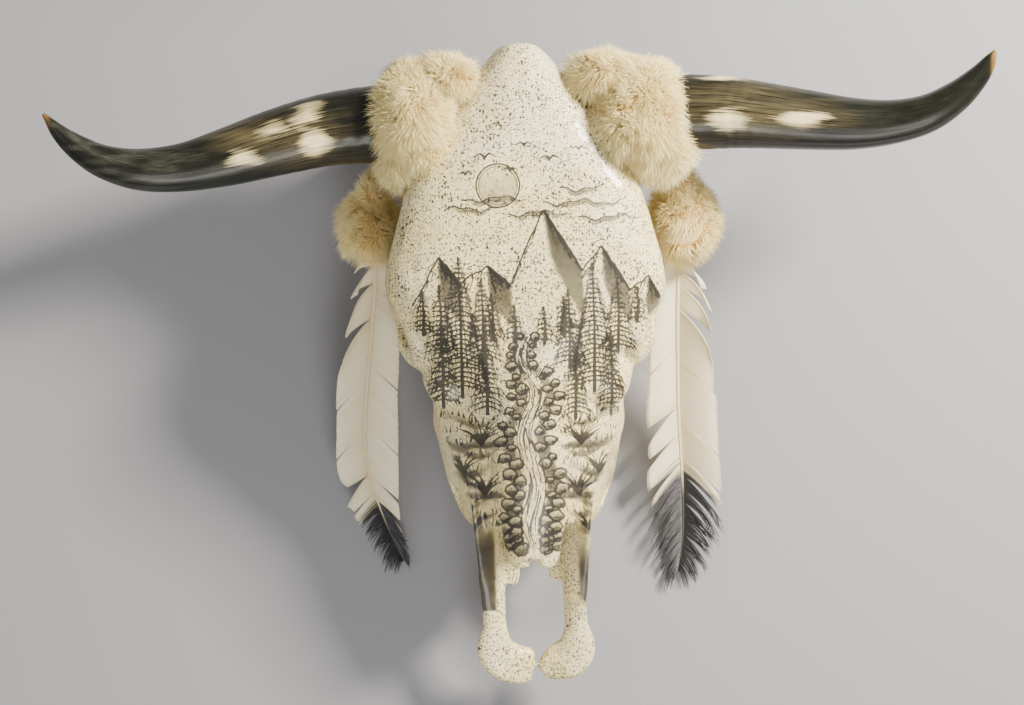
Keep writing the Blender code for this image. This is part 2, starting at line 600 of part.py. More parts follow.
def tooth_rings(centre, length, width, lobes, root, tip):
    """An upright prism, rounded, with a waist where it has two lobes."""
    angle = np.linspace(0, 2 * math.pi, 12, endpoint=False)
    along = length / 2 * signed_power(np.cos(angle), 0.45)
    waist = 1 - (0.22 * (1 - np.abs(np.cos(angle))) if lobes == 2 else 0)
    across = width / 2 * signed_power(np.sin(angle), 0.55) * waist
    rings = []
    for z, scale in ((root, 0.94), (tip + 0.004, 1.0), (tip, 0.96)):
        rings.append(np.stack([centre[0] + across * scale, centre[1] + along * scale,
                               np.full(12, z)], 1))
    return rings


def add_teeth(build, sign):
    """The cheek teeth of one side, whose biting ends rise off the table towards the nose."""
    front, back = np.array(TOOTH_ROW_FRONT), np.array(TOOTH_ROW_BACK)
    whole = sum(length for length, _, _ in TEETH)
    scale = np.linalg.norm(back - front) / whole
    done = 0.0
    for length, width, lobes in TEETH:
        middle = front + (back - front) * (done + length / 2) / whole
        done += length
        rise = max(0.0, BITE_RISE * (back[1] - TEETH[-1][0] - middle[1]))
        tip = rise if rise > 0 else -0.001
        rings = tooth_rings((middle[0] * sign, middle[1]), length * scale - TOOTH_GAP, width, lobes,
                            TOOTH_ROOT_Z + rise * 0.6, tip)
        add_skin(build, rings)


def horn_rows(side):
    return [(x, y, z, radius, radius * HORN_DEPTH, 0) for x, y, z, radius in HORNS[side]]


def horn(side, parts, tools):
    """A curved cone of changing radius, cut flat at its root to face the horn core."""
    sign = SIDES[side]
    build = bmesh.new()
    add_skin(build, sweep_rings(horn_rows(side), 21, sign, sides=14))
    made = new_object(f"horn_{side}", build, "horn", parts)
    inner = cutter("root", tools, lambda b: add_side_box(b, sign, (0, 0.1, 0), (CORE_END + GAP, 0.3, 0.3)))
    boolean(made, inner, "DIFFERENCE")
    return made


def add_lock(build, root, outward, drift, length, width, thickness, bend):
    """A flat tapered lock of hair: a bent path with a ridged section that narrows to its tip."""
    across = outward.cross(drift).normalized()
    rings = []
    for reach, wide in LOCK_STATIONS:
        centre = root + outward * (length * (reach * (1 - 0.45 * bend * reach) - 0.22)) + drift * (
            length * bend * reach * (0.5 + 0.7 * reach))
        ahead = (outward * (1 - 0.9 * bend * reach) + drift * bend * (0.5 + 1.4 * reach)).normalized()
        up = across.cross(ahead).normalized()
        if up.dot(outward) < 0:
            up.negate()
        half, deep = width * wide, thickness * (0.3 + 0.7 * wide)
        rings.append(np.array([centre + across * half - up * deep * 0.4, centre + up * deep,
                               centre - across * half - up * deep * 0.4]))
    add_skin(build, rings)


def covered(point, balls):
    """Whether a point lies inside one of the balls."""
    return any(sum(((p - c) / r) ** 2 for p, c, r in zip(point, centre, radii)) < 0.95
               for centre, radii, _, _ in balls)


def fur_balls(name, balls, sign, parts, seed):
    """Stuffed cores covered in overlapping locks that point out and fall to the nose and down."""
    random = np.random.default_rng(seed)
    tufts = bpy.data.collections.new(name + "_locks")
    bpy.context.scene.collection.children.link(tufts)
    golden = math.pi * (3 - math.sqrt(5))
    made = None
    for ball in balls:
        centre, radii, locks, length = ball
        middle = Vector((centre[0] * sign, *centre[1:]))
        build = bmesh.new()
        core = Matrix.Translation(middle) @ Matrix.Diagonal((*radii, 1))
        bmesh.ops.create_uvsphere(build, u_segments=10, v_segments=7, radius=1, matrix=core)
        stuffed = new_object(name if made is None else "lobe", build, "fur", parts if made is None else tufts)
        made = made or stuffed
        others = [other for other in balls if other is not ball]
        for i in range(locks):
            height = 1 - 2 * (i + 0.5) / locks
            around = golden * i + random.uniform(-0.2, 0.2)
            level = math.sqrt(1 - height * height)
            way = Vector((height, level * math.cos(around), level * math.sin(around)))
            root = middle + Vector(a * b for a, b in zip(way, radii))
            outward = Vector(a / b for a, b in zip(way, radii)).normalized()
            drift = Vector((random.uniform(-0.7, 0.7), random.uniform(-1.0, 0.3), random.uniform(-0.7, 0.2)))
            drift = (drift - outward * drift.dot(outward)).normalized()
            if covered((root.x * sign, root.y, root.z), others):
                continue
            build = bmesh.new()
            add_lock(build, root, outward, drift, length * random.uniform(0.8, 1.15),
                     length * LOCK_WIDTH * random.uniform(0.85, 1.2), length * LOCK_THICKNESS,
                     random.uniform(0.6, 1.05))
            new_object("lock", build, "fur", tufts)
    for tuft in tufts.objects:
        tuft.hide_render = True
        tuft.display_type = "WIRE"
    join_collection(made, tufts)
    return made


def join_collection(target, others):
    """One Boolean union of an object with all in a collection, which is then removed."""
    step = target.modifiers.new("join", "BOOLEAN")
    step.operand_type = "COLLECTION"
    step.collection = others
    step.operation = "UNION"
    step.solver = "EXACT"
    apply_modifiers(target)
    for other in list(others.objects):
        mesh = other.data
        bpy.data.objects.remove(other)
        bpy.data.meshes.remove(mesh)
    bpy.data.collections.remove(others)
    keep_largest(target)


def grown(source, by):
    """A hidden copy whose skin is moved outwards, for cutting a neighbour that leaves a gap."""
    made = copy_of(source, "grown")
    build = bmesh.new()
    build.from_mesh(made.data)
    build.normal_update()
    moves = [vert.normal * by for vert in build.verts]
    for vert, move in zip(build.verts, moves):
        vert.co += move
    build.to_mesh(made.data)
    build.free()
    made.hide_render = True
    made.display_type = "WIRE"
    return made


def cut_by(target, others, by):
    """Clears the target from its neighbours, with a gap all round each."""
    for other in others:
        boolean(target, grown(other, by), "DIFFERENCE")
    keep_largest(target)


def thong(side, parts):
    """The hide thong from the wrap's fur down into the puff's."""
    build = bmesh.new()
    add_skin(build, sweep_rings(THONGS[side], 5, SIDES[side], sides=6))
    return new_object(f"thong_{side}", build, "hide", parts)


def feather(side, parts, tools):
    """A quill with a thin vane on each side, split into groups of barbs, ragged at its tip."""
    sign = SIDES[side]
    random = np.random.default_rng(FEATHER_SEEDS[side])
    rows = smooth_rows(FEATHERS[side], 80)
    along = np.linspace(0, 1, len(rows))

    def at(share):
        share = min(max(share, 0.0), 1.0)
        return [float(np.interp(share, along, rows[:, k])) for k in range(5)]

    starts = np.concatenate([np.linspace(0.06, 0.72, BARB_GROUPS, endpoint=False),
                             np.linspace(0.72, 0.98, TIP_GROUPS + 1)])
    build = bmesh.new()
    for edge in (-1, 1):
        corners = {}
        depths = [3] + [int(random.choice((1, 2, 3), p=(0.15, 0.25, 0.60))) if share < 0.72
                        else int(random.choice((1, 2))) for share in starts[1:-1]] + [3]

        def corner(j, station, before):
            split = station > depths[j]
            key = (j, station, before if split else None)
            if key not in corners:
                x, y, z, inner, outer = at(starts[j])
                width = outer if edge > 0 else inner
                reach = VANE_STATIONS[station]
                ragged = 1.0
                if station == 3:
                    wide = 0.05 if starts[j] < 0.72 else 0.22
                    ragged = 1 + random.uniform(-wide, wide)
                out = width * reach * ragged
                slide = -BARB_SLANT * width * reach
                if split:
                    slide += (SPLIT_WIDTH * (station - depths[j]) / 2) * (1 if before else -1)
                lift = VANE_CAMBER * math.sin(math.pi * reach) + random.uniform(0, 0.0012) * (station > 1)
                point = ((x + edge * out) * sign, y + slide, z + lift)
                corners[key] = build.verts.new(point)
            return corners[key]

        for j in range(len(starts) - 1):
            for station in range(3):
                quad = (corner(j, station, False), corner(j, station + 1, False),
                        corner(j + 1, station + 1, True), corner(j + 1, station, True))
                build.faces.new(quad)
    bmesh.ops.recalc_face_normals(build, faces=build.faces)
    bmesh.ops.triangulate(build, faces=build.faces)
    made = new_object(f"feather_{side}", build, "feather", parts)
    thicken = made.modifiers.new("thicken", "SOLIDIFY")
    thicken.thickness = VANE_THICKNESS
    thicken.offset = 0
    apply_modifiers(made)
    quill = bmesh.new()
    lines = []
    for share in np.linspace(0, 0.97, 11):
        radius = QUILL_RADIUS * (1 - 0.6 * share)
        lines.append((*at(share)[:3], radius, radius, 0))
    add_skin(quill, sweep_rings(lines, 11, sign, sides=6))
    shaft = new_object("quill", quill, "feather", tools)
    boolean(made, shaft, "UNION")
    keep_largest(made)
    return made


def cut_floor(target, tools):
    """Makes flat what would go under the table."""
    low = (-0.6, -0.6, -0.2)
    boolean(target, cutter("floor", tools, lambda b: add_box(b, low, (0.6, 0.6, FLOOR))), "DIFFERENCE")
    keep_largest(target)


def main():
    for old in list(bpy.data.objects):
        bpy.data.objects.remove(old)
    parts = bpy.data.collections.new("painted_cow_skull")
    tools = bpy.data.collections.new("cutters")
    bpy.context.scene.collection.children.link(parts)
    bpy.context.scene.collection.children.link(tools)
    skull = whole_skull(parts, tools)

    nose = take_off(skull, "nose", tools, nasal_region)
    for side, sign in SIDES.items():
        half = copy_of(nose, f"nasal_{side}")
        region = cutter("half", tools, lambda b: add_side_box(b, sign, (GAP / 2, -0.5, -0.1), (0.3, 0.5, 0.5)))
        boolean(half, region, "INTERSECT")
        keep_largest(half)
    bpy.data.objects.remove(nose)

    for side, sign in SIDES.items():
        outside = cutter("ends", tools,
                         lambda b: add_side_box(b, sign, (CORE_END, 0.155, 0.10), (0.2, 0.26, 0.25)))
        boolean(skull, outside, "DIFFERENCE")
        take_off(skull, f"zygomatic_{side}", tools,
                 lambda b, grow: add_side_box(b, sign, *ZYGOMATIC_REGION, grow))
    for side, sign in SIDES.items():
        take_off(skull, f"incisive_{side}", tools,
                 lambda b, grow: add_side_box(b, sign, *INCISIVE_REGION, grow))
    for side, sign in SIDES.items():
        maxilla = take_off(skull, f"maxilla_{side}", tools,
                           lambda b, grow: maxilla_region(b, sign, grow))
        boolean(maxilla, cutter("teeth", tools, lambda b: add_teeth(b, sign)), "UNION")
        cut_floor(maxilla, tools)
    cut_floor(skull, tools)

    for index, (side, sign) in enumerate(SIDES.items()):
        sheath = horn(side, parts, tools)
        strap = thong(side, parts)
        wrap = fur_balls(f"fur_wrap_{side}", WRAPS[side], sign, parts, 11 + index)
        cut_by(wrap, (sheath, skull, strap), CLEAR)
        puff = fur_balls(f"fur_puff_{side}", PUFFS[side], sign, parts, 31 + index)
        cut_by(puff, (strap, skull, bpy.data.objects[f"zygomatic_{side}"], wrap), CLEAR)
        plume = feather(side, parts, tools)
        cut_by(puff, (plume,), CLEAR)


main()
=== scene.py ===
"""The looks of a painted cow skull with its horns, fur wraps and hanging feathers, lying face up.

Metres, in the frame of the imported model: +Y from the nose to the poll, +Z up, +X to the animal's left.
"""

import json
import math

import bmesh
import bpy
import numpy as np
from mathutils import Matrix, Vector
from mathutils.bvhtree import BVHTree

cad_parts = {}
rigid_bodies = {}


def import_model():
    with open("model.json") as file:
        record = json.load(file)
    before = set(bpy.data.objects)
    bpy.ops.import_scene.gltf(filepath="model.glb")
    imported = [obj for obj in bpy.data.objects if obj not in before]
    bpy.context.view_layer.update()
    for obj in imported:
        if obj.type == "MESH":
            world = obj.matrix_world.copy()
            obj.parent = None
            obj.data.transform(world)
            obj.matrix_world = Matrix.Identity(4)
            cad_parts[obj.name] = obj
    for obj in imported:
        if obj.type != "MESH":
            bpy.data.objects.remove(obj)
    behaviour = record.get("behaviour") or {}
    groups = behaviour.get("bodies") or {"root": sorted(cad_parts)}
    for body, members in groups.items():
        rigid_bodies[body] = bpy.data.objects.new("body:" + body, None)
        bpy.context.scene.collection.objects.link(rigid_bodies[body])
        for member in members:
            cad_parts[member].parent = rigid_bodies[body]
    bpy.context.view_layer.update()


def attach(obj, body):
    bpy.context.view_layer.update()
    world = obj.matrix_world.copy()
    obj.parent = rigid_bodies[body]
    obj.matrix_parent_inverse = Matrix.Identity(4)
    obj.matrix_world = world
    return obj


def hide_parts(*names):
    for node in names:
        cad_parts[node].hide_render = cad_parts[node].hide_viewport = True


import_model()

bl_info = {
    "name": "Painted Cow Skull",
    "version": (1, 0, 0),
    "blender": (4, 5, 0),
    "location": "3D View > Sidebar > Cow Skull",
    "description": "Painted bone, horns, fur wraps and feathers of a cow skull, and the stage round it",
    "category": "Add Mesh",
}

SIDES = {"left": 1, "right": -1}
FLOOR = 0.0

# Stations along Y of the closed forms that make up the bone. Each row holds
# y, half width, top, height of the widest point, bottom, squareness above, squareness below.
FOREHEAD = (
    (0.2655, 0.0060, 0.1620, 0.157, 0.150, 2.0, 2.0),
    (0.2620, 0.0170, 0.1700, 0.154, 0.136, 2.0, 2.0),
    (0.2500, 0.0280, 0.1780, 0.152, 0.118, 2.0, 2.0),
    (0.2340, 0.0395, 0.1845, 0.153, 0.105, 2.1, 2.0),
    (0.2180, 0.0515, 0.1880, 0.155, 0.105, 2.2, 2.0),
    (0.1950, 0.0670, 0.1905, 0.158, 0.110, 2.3, 2.0),
    (0.1700, 0.0825, 0.1920, 0.160, 0.120, 2.4, 2.2),
    (0.1500, 0.0935, 0.1925, 0.160, 0.126, 2.5, 2.4),
    (0.1350, 0.0995, 0.1925, 0.160, 0.130, 2.5, 2.4),
    (0.1050, 0.1075, 0.1910, 0.157, 0.128, 2.5, 2.4),
    (0.0850, 0.1125, 0.1895, 0.154, 0.126, 2.5, 2.4),
    (0.0700, 0.1145, 0.1880, 0.151, 0.124, 2.5, 2.4),
    (0.0550, 0.1120, 0.1860, 0.148, 0.120, 2.4, 2.3),
    (0.0400, 0.1040, 0.1835, 0.144, 0.114, 2.4, 2.2),
    (0.0200, 0.0880, 0.1790, 0.138, 0.106, 2.3, 2.2),
    (0.0000, 0.0720, 0.1735, 0.130, 0.100, 2.2, 2.2),
    (-0.0300, 0.0540, 0.1640, 0.122, 0.095, 2.1, 2.0),
    (-0.0600, 0.0380, 0.1540, 0.115, 0.090, 2.0, 2.0),
)
MUZZLE = (
    (0.0550, 0.0500, 0.1650, 0.092, 0.046, 2.0, 2.6),
    (0.0250, 0.0700, 0.1700, 0.090, 0.036, 2.0, 3.0),
    (0.0000, 0.0790, 0.1680, 0.086, 0.026, 2.0, 3.6),
    (-0.0250, 0.0800, 0.1620, 0.080, 0.024, 1.9, 3.8),
    (-0.0550, 0.0775, 0.1530, 0.072, 0.026, 1.8, 3.8),
    (-0.0850, 0.0715, 0.1440, 0.064, 0.029, 1.7, 3.6),
    (-0.1080, 0.0645, 0.1360, 0.059, 0.034, 1.6, 3.2),
    (-0.1220, 0.0590, 0.1310, 0.060, 0.040, 1.6, 2.8),
    (-0.1310, 0.0520, 0.1280, 0.064, 0.047, 1.6, 2.4),
)
NASAL_ROOF = (
    (0.0250, 0.0100, 0.1790, 0.168, 0.150, 2.0, 2.0),
    (0.0000, 0.0230, 0.1752, 0.160, 0.140, 2.0, 2.0),
    (-0.0300, 0.0300, 0.1675, 0.150, 0.128, 2.0, 2.0),
    (-0.0700, 0.0315, 0.1565, 0.139, 0.122, 2.0, 2.0),
    (-0.1050, 0.0300, 0.1465, 0.131, 0.119, 2.0, 2.2),
    (-0.1300, 0.0265, 0.1390, 0.125, 0.116, 2.0, 2.4),
    (-0.1450, 0.0240, 0.1342, 0.122, 0.114, 2.0, 2.8),
    (-0.1580, 0.0212, 0.1300, 0.120, 0.1125, 2.0, 2.8),
)
BRAINCASE = (
    (0.0550, 0.0300, 0.150, 0.110, 0.070, 2.0, 2.0),
    (0.0900, 0.0450, 0.160, 0.110, 0.058, 2.0, 2.0),
    (0.1300, 0.0540, 0.165, 0.108, 0.050, 2.0, 2.0),
    (0.1750, 0.0600, 0.165, 0.104, 0.046, 2.2, 2.2),
    (0.2100, 0.0720, 0.160, 0.104, 0.046, 2.4, 2.4),
    (0.2300, 0.0700, 0.150, 0.104, 0.050, 2.4, 2.4),
    (0.2420, 0.0520, 0.138, 0.100, 0.056, 2.2, 2.2),
)
SKULL_BASE = (
    (0.2420, 0.0180, 0.072, 0.060, 0.044, 2.0, 2.0),
    (0.2100, 0.0240, 0.075, 0.058, 0.042, 2.0, 2.2),
    (0.1700, 0.0200, 0.075, 0.056, 0.040, 2.0, 2.2),
    (0.1200, 0.0150, 0.075, 0.058, 0.043, 2.0, 2.0),
    (0.0600, 0.0140, 0.080, 0.064, 0.050, 2.0, 2.0),
)
PALATE = (
    (-0.0900, 0.0400, 0.060, 0.050, 0.038, 3.0, 3.0),
    (-0.1250, 0.0370, 0.062, 0.055, 0.044, 3.0, 3.0),
    (-0.1500, 0.0300, 0.062, 0.057, 0.050, 3.0, 3.0),
    (-0.1680, 0.0220, 0.062, 0.058, 0.053, 3.0, 3.0),
)
NASAL_CAVITY = (
    (-0.2100, 0.0330, 0.150, 0.096, 0.0640, 3.0, 3.0),
    (-0.1500, 0.0290, 0.117, 0.092, 0.0640, 3.0, 3.0),
    (-0.1200, 0.0270, 0.116, 0.090, 0.0640, 3.0, 3.0),
    (-0.0800, 0.0250, 0.118, 0.090, 0.0640, 2.6, 2.6),
    (-0.0450, 0.0180, 0.112, 0.090, 0.0700, 2.2, 2.2),
)
PALATE_VAULT = (
    (-0.1600, 0.0180, 0.046, 0.030, -0.02, 2.0, 2.0),
    (-0.1000, 0.0270, 0.044, 0.022, -0.02, 2.2, 2.0),
    (-0.0400, 0.0330, 0.044, 0.018, -0.02, 2.4, 2.0),
    (0.0300, 0.0340, 0.046, 0.018, -0.02, 2.4, 2.0),
    (0.0700, 0.0200, 0.050, 0.020, -0.02, 2.0, 2.0),
)

# Swept forms of one side. Each row holds x, y, z, half width, half thickness and the roll of the
# section in degrees, which lifts its outer edge.
INCISIVE = {
    "left": (
        (0.0470, -0.080, 0.1120, 0.0060, 0.0045, 60),
        (0.0440, -0.105, 0.1020, 0.0130, 0.0050, 60),
        (0.0395, -0.130, 0.0880, 0.0165, 0.0052, 55),
        (0.0365, -0.155, 0.0770, 0.0155, 0.0052, 45),
        (0.0350, -0.180, 0.0690, 0.0128, 0.0050, 32),
        (0.0345, -0.205, 0.0620, 0.0112, 0.0052, 20),
        (0.0350, -0.219, 0.0575, 0.0118, 0.0058, 12),
        (0.0356, -0.231, 0.0540, 0.0150, 0.0062, 8),
        (0.0330, -0.2405, 0.0515, 0.0175, 0.0064, 5),
        (0.0262, -0.2475, 0.0490, 0.0182, 0.0064, 3),
        (0.0182, -0.2512, 0.0470, 0.0165, 0.0060, 0),
        (0.0112, -0.2550, 0.0455, 0.0128, 0.0052, 0),
        (0.0045, -0.2590, 0.0445, 0.0072, 0.0040, 0),
    ),
    "right": (
        (0.0470, -0.080, 0.1120, 0.0060, 0.0045, 60),
        (0.0440, -0.105, 0.1020, 0.0130, 0.0050, 60),
        (0.0395, -0.130, 0.0880, 0.0165, 0.0052, 55),
        (0.0365, -0.155, 0.0770, 0.0155, 0.0052, 45),
        (0.0350, -0.180, 0.0690, 0.0125, 0.0050, 32),
        (0.0342, -0.205, 0.0620, 0.0108, 0.0052, 20),
        (0.0342, -0.219, 0.0575, 0.0115, 0.0058, 12),
        (0.0350, -0.231, 0.0540, 0.0150, 0.0062, 8),
        (0.0325, -0.2405, 0.0515, 0.0175, 0.0064, 5),
        (0.0260, -0.2475, 0.0490, 0.0180, 0.0064, 3),
        (0.0180, -0.2510, 0.0470, 0.0172, 0.0062, 0),
        (0.0095, -0.2520, 0.0455, 0.0165, 0.0056, 0),
        (0.0022, -0.2530, 0.0445, 0.0150, 0.0048, 0),
    ),
}
NASAL_TIPS = {
    "left": ((0.0110, -0.140, 0.1290, 0.0120, 0.0046, -14), (0.0112, -0.157, 0.1238, 0.0096, 0.0044, -12),
             (0.0078, -0.165, 0.1212, 0.0062, 0.0040, -8), (0.0066, -0.1695, 0.1200, 0.0036, 0.0034, -8)),
    "right": ((0.0110, -0.140, 0.1290, 0.0120, 0.0046, -14), (0.0115, -0.157, 0.1235, 0.0100, 0.0044, -10),
              (0.0075, -0.167, 0.1205, 0.0066, 0.0040, -6), (0.0050, -0.1775, 0.1170, 0.0038, 0.0034, -6)),
}
PALATINE_FLAP = {
    "left": ((0.0330, -0.150, 0.0620, 0.0120, 0.0032, 0), (0.0270, -0.164, 0.0615, 0.0125, 0.0032, 0),
             (0.0185, -0.172, 0.0605, 0.0090, 0.0030, 0), (0.0125, -0.1735, 0.0600, 0.0056, 0.0030, 0)),
    "right": ((0.0330, -0.150, 0.0620, 0.0120, 0.0032, 0), (0.0265, -0.166, 0.0615, 0.0130, 0.0032, 0),
              (0.0180, -0.174, 0.0605, 0.0100, 0.0030, 0), (0.0115, -0.1755, 0.0600, 0.0070, 0.0030, 0)),
}
ARCH = (
    (0.1000, 0.020, 0.0950, 0.0110, 0.0070, 90),
    (0.1030, 0.045, 0.0890, 0.0100, 0.0060, 90),
    (0.1040, 0.075, 0.0860, 0.0100, 0.0052, 90),
    (0.1010, 0.100, 0.0860, 0.0098, 0.0050, 90),
    (0.0920, 0.125, 0.0890, 0.0095, 0.0055, 80),
    (0.0760, 0.142, 0.0935, 0.0130, 0.0070, 40),
    (0.0560, 0.150, 0.0960, 0.0160, 0.0090, 10),
)
PARACONDYLAR = (
    (0.0480, 0.2220, 0.0800, 0.0130, 0.0080, 0),
    (0.0520, 0.2200, 0.0520, 0.0125, 0.0075, 0),
    (0.0545, 0.2160, 0.0250, 0.0100, 0.0060, 0),
    (0.0555, 0.2120, -0.0030, 0.0070, 0.0050, 0),
)
PTERYGOID = (
    (0.0330, 0.000, 0.0600, 0.0180, 0.0045, 90),
    (0.0280, 0.030, 0.0560, 0.0260, 0.0035, 90),
    (0.0235, 0.060, 0.0580, 0.0260, 0.0030, 90),
    (0.0200, 0.090, 0.0660, 0.0180, 0.0030, 90),
    (0.0180, 0.110, 0.0700, 0.0080, 0.0030, 90),
)
HORN_CORE = (
    (0.0450, 0.178, 0.1500, 0.0330, 0.0300, 0),
    (0.0720, 0.190, 0.1490, 0.0320, 0.0300, 0),
    (0.0920, 0.198, 0.1485, 0.0300, 0.0290, 0),
    (0.1140, 0.203, 0.1485, 0.0290, 0.0290, 0),
)
CORE_END = 0.1055

# Ellipsoids of one side: centre and radii.
ORBIT_CENTRE = (0.0965, 0.0400, 0.1225)
ORBIT_AXIS = (0.95, -0.30, 0.10)
ORBIT_RIM_RADIUS = 0.0325
ORBIT_RIM_THICKNESS = 0.0085
ORBIT_MOUTH = (0.0250, 0.0250, 0.0400)
ORBIT_MOUTH_DEPTH = 0.006
CHEEKBONE = ((0.0825, 0.031, 0.0945), (0.0255, 0.0320, 0.0240))
LACRIMAL = ((0.0640, 0.000, 0.1290), (0.0230, 0.0340, 0.0220))
CONDYLE = ((0.0230, 0.2380, 0.0720), (0.0150, 0.0135, 0.0200))
BULLA = ((0.0390, 0.1780, 0.0570), (0.0115, 0.0200, 0.0170))
FACIAL_TUBER = ((0.0690, -0.040, 0.0720), (0.0115, 0.0260, 0.0120))
PALATINE_NOTCH = ((0.0, -0.1740, 0.0560), (0.0115, 0.0300, 0.0300))
FORAMEN_MAGNUM = ((0.0, 0.2500, 0.0860), (0.0190, 0.0600, 0.0170))
INFRAORBITAL = ((0.0600, -0.104, 0.0700), (0.0100, 0.0130, 0.0060))
TEMPORAL_HOLLOW = ((0.1020, 0.1250, 0.1140), (0.0400, 0.0440, 0.0270))
SUPRAORBITAL_GROOVE = ((0.0560, 0.0850, 0.1965), (0.0045, 0.0400, 0.0090))

# Cheek teeth of one side, front to back: length along the row, width, lobes.
TEETH = ((0.016, 0.014, 1), (0.018, 0.017, 1), (0.018, 0.019, 1),
         (0.025, 0.021, 2), (0.028, 0.023, 2), (0.030, 0.023, 2))
TOOTH_ROW_FRONT = (0.0420, -0.120)
TOOTH_ROW_BACK = (0.0555, 0.018)
TOOTH_ROOT_Z = 0.036
TOOTH_GAP = 0.0005
BITE_RISE = math.tan(math.radians(5.5))

# What each bone takes of the skull. The slab of the nasal bones is given as y, half width and
# bottom; the boxes are given for the left side, as two corners. The back of the maxilla is a leaning
# plane, given as y at the top and at the foot of the region.
NASAL_REGION = (
    (0.0180, 0.0020, 0.150), (0.0000, 0.0150, 0.145), (-0.0400, 0.0215, 0.135),
    (-0.1000, 0.0250, 0.1205), (-0.1450, 0.0265, 0.106), (-0.2000, 0.0265, 0.106),
)
ZYGOMATIC_REGION = ((0.0800, -0.010, 0.050), (0.1400, 0.100, 0.1180))
INCISIVE_REGION = ((0.0, -0.300, 0.000), (0.1000, -0.128, 0.1500))
MAXILLA_FRONT = -0.128
MAXILLA_BACK = (-0.060, 0.045)
REGION_TOP = 0.25
REGION_FOOT = -0.05
REGION_OUT = 0.2
ONE_HALF = ((0.0, -0.5, -0.1), (0.3, 0.5, 0.5))
CORE_CUT = ((CORE_END, 0.155, 0.10), (0.2, 0.26, 0.25))
BELOW_FLOOR = ((-0.6, -0.6, -0.2), (0.6, 0.6, FLOOR))

# Horn sheaths, root to tip: x outwards, y, z, radius.
HORNS = {
    "left": (
        (0.0880, 0.2000, 0.1485, 0.0312), (0.1100, 0.2055, 0.1485, 0.0312),
        (0.1600, 0.2050, 0.1510, 0.0302), (0.1900, 0.2020, 0.1540, 0.0278),
        (0.2300, 0.1965, 0.1585, 0.0247), (0.2690, 0.1915, 0.1645, 0.0213),
        (0.3010, 0.1915, 0.1710, 0.0181), (0.3290, 0.1970, 0.1790, 0.0156),
        (0.3520, 0.2095, 0.1870, 0.0126), (0.3690, 0.2245, 0.1940, 0.0088),
        (0.3775, 0.2360, 0.1990, 0.0052), (0.3820, 0.2440, 0.2020, 0.0014),
    ),
    "right": (
        (0.0880, 0.2020, 0.1485, 0.0318), (0.1150, 0.2035, 0.1490, 0.0318),
        (0.1570, 0.2000, 0.1530, 0.0298), (0.1970, 0.1912, 0.1580, 0.0275),
        (0.2380, 0.1800, 0.1640, 0.0239), (0.2740, 0.1720, 0.1700, 0.0199),
        (0.3080, 0.1705, 0.1770, 0.0171), (0.3360, 0.1768, 0.1840, 0.0137),
        (0.3560, 0.1880, 0.1900, 0.0104), (0.3710, 0.2010, 0.1960, 0.0064),
        (0.3830, 0.2160, 0.2000, 0.0014),
    ),
}
HORN_DEPTH = 0.94

# Each fur grows on stuffed balls: centre and radii.
WRAPS = {
    "left": (((0.0980, 0.2040, 0.1590), (0.0340, 0.0410, 0.0400)),
             ((0.0680, 0.2370, 0.1640), (0.0210, 0.0150, 0.0220)),
             ((0.1140, 0.1800, 0.1500), (0.0200, 0.0210, 0.0280))),
    "right": (((0.0860, 0.2070, 0.1590), (0.0285, 0.0410, 0.0400)),
              ((0.0600, 0.2370, 0.1640), (0.0210, 0.0150, 0.0220)),
              ((0.0930, 0.1740, 0.1500), (0.0180, 0.0170, 0.0260))),
}
PUFFS = {
    "left": (((0.1345, 0.1200, 0.0840), (0.0235, 0.0270, 0.0200)),
             ((0.1325, 0.1500, 0.0960), (0.0090, 0.0120, 0.0090))),
    "right": (((0.1280, 0.1240, 0.0840), (0.0190, 0.0240, 0.0180)),
              ((0.1240, 0.1500, 0.0960), (0.0080, 0.0100, 0.0080))),
}
THONGS = {
    "left": ((0.1180, 0.172, 0.1300, 0.0026, 0.0016, 0), (0.1240, 0.158, 0.1120, 0.0026, 0.0016, 0),
             (0.1300, 0.140, 0.0940, 0.0024, 0.0015, 0)),
    "right": ((0.1100, 0.172, 0.1300, 0.0026, 0.0016, 0), (0.1160, 0.158, 0.1120, 0.0026, 0.0016, 0),
              (0.1220, 0.140, 0.0940, 0.0024, 0.0015, 0)),
}

# Feathers, quill root to tip: x outwards, y, z, width towards the skull, width away from it.
FEATHERS = {
    "left": (
        (0.1305, 0.100, 0.0700, 0.006, 0.012),
        (0.1295, 0.078, 0.0640, 0.020, 0.029),
        (0.1280, 0.040, 0.0550, 0.024, 0.031),
        (0.1275, 0.000, 0.0450, 0.026, 0.032),
        (0.1275, -0.040, 0.0350, 0.028, 0.033),
        (0.1290, -0.080, 0.0250, 0.029, 0.033),
        (0.1300, -0.110, 0.0175, 0.030, 0.031),
        (0.1300, -0.138, 0.0100, 0.024, 0.025),
        (0.1280, -0.160, 0.0048, 0.018, 0.016),
        (0.1240, -0.180, 0.0019, 0.004, 0.004),
    ),
    "right": (
        (0.1240, 0.106, 0.0720, 0.006, 0.010),
        (0.1255, 0.080, 0.0650, 0.018, 0.026),
        (0.1300, 0.040, 0.0550, 0.022, 0.028),
        (0.1345, 0.005, 0.0460, 0.024, 0.027),
        (0.1385, -0.030, 0.0360, 0.027, 0.025),
        (0.1405, -0.060, 0.0275, 0.028, 0.024),
        (0.1370, -0.090, 0.0195, 0.024, 0.020),
        (0.1290, -0.118, 0.0120, 0.018, 0.016),
        (0.1190, -0.145, 0.0055, 0.013, 0.012),
        (0.1100, -0.164, 0.0019, 0.004, 0.004),
    ),
}

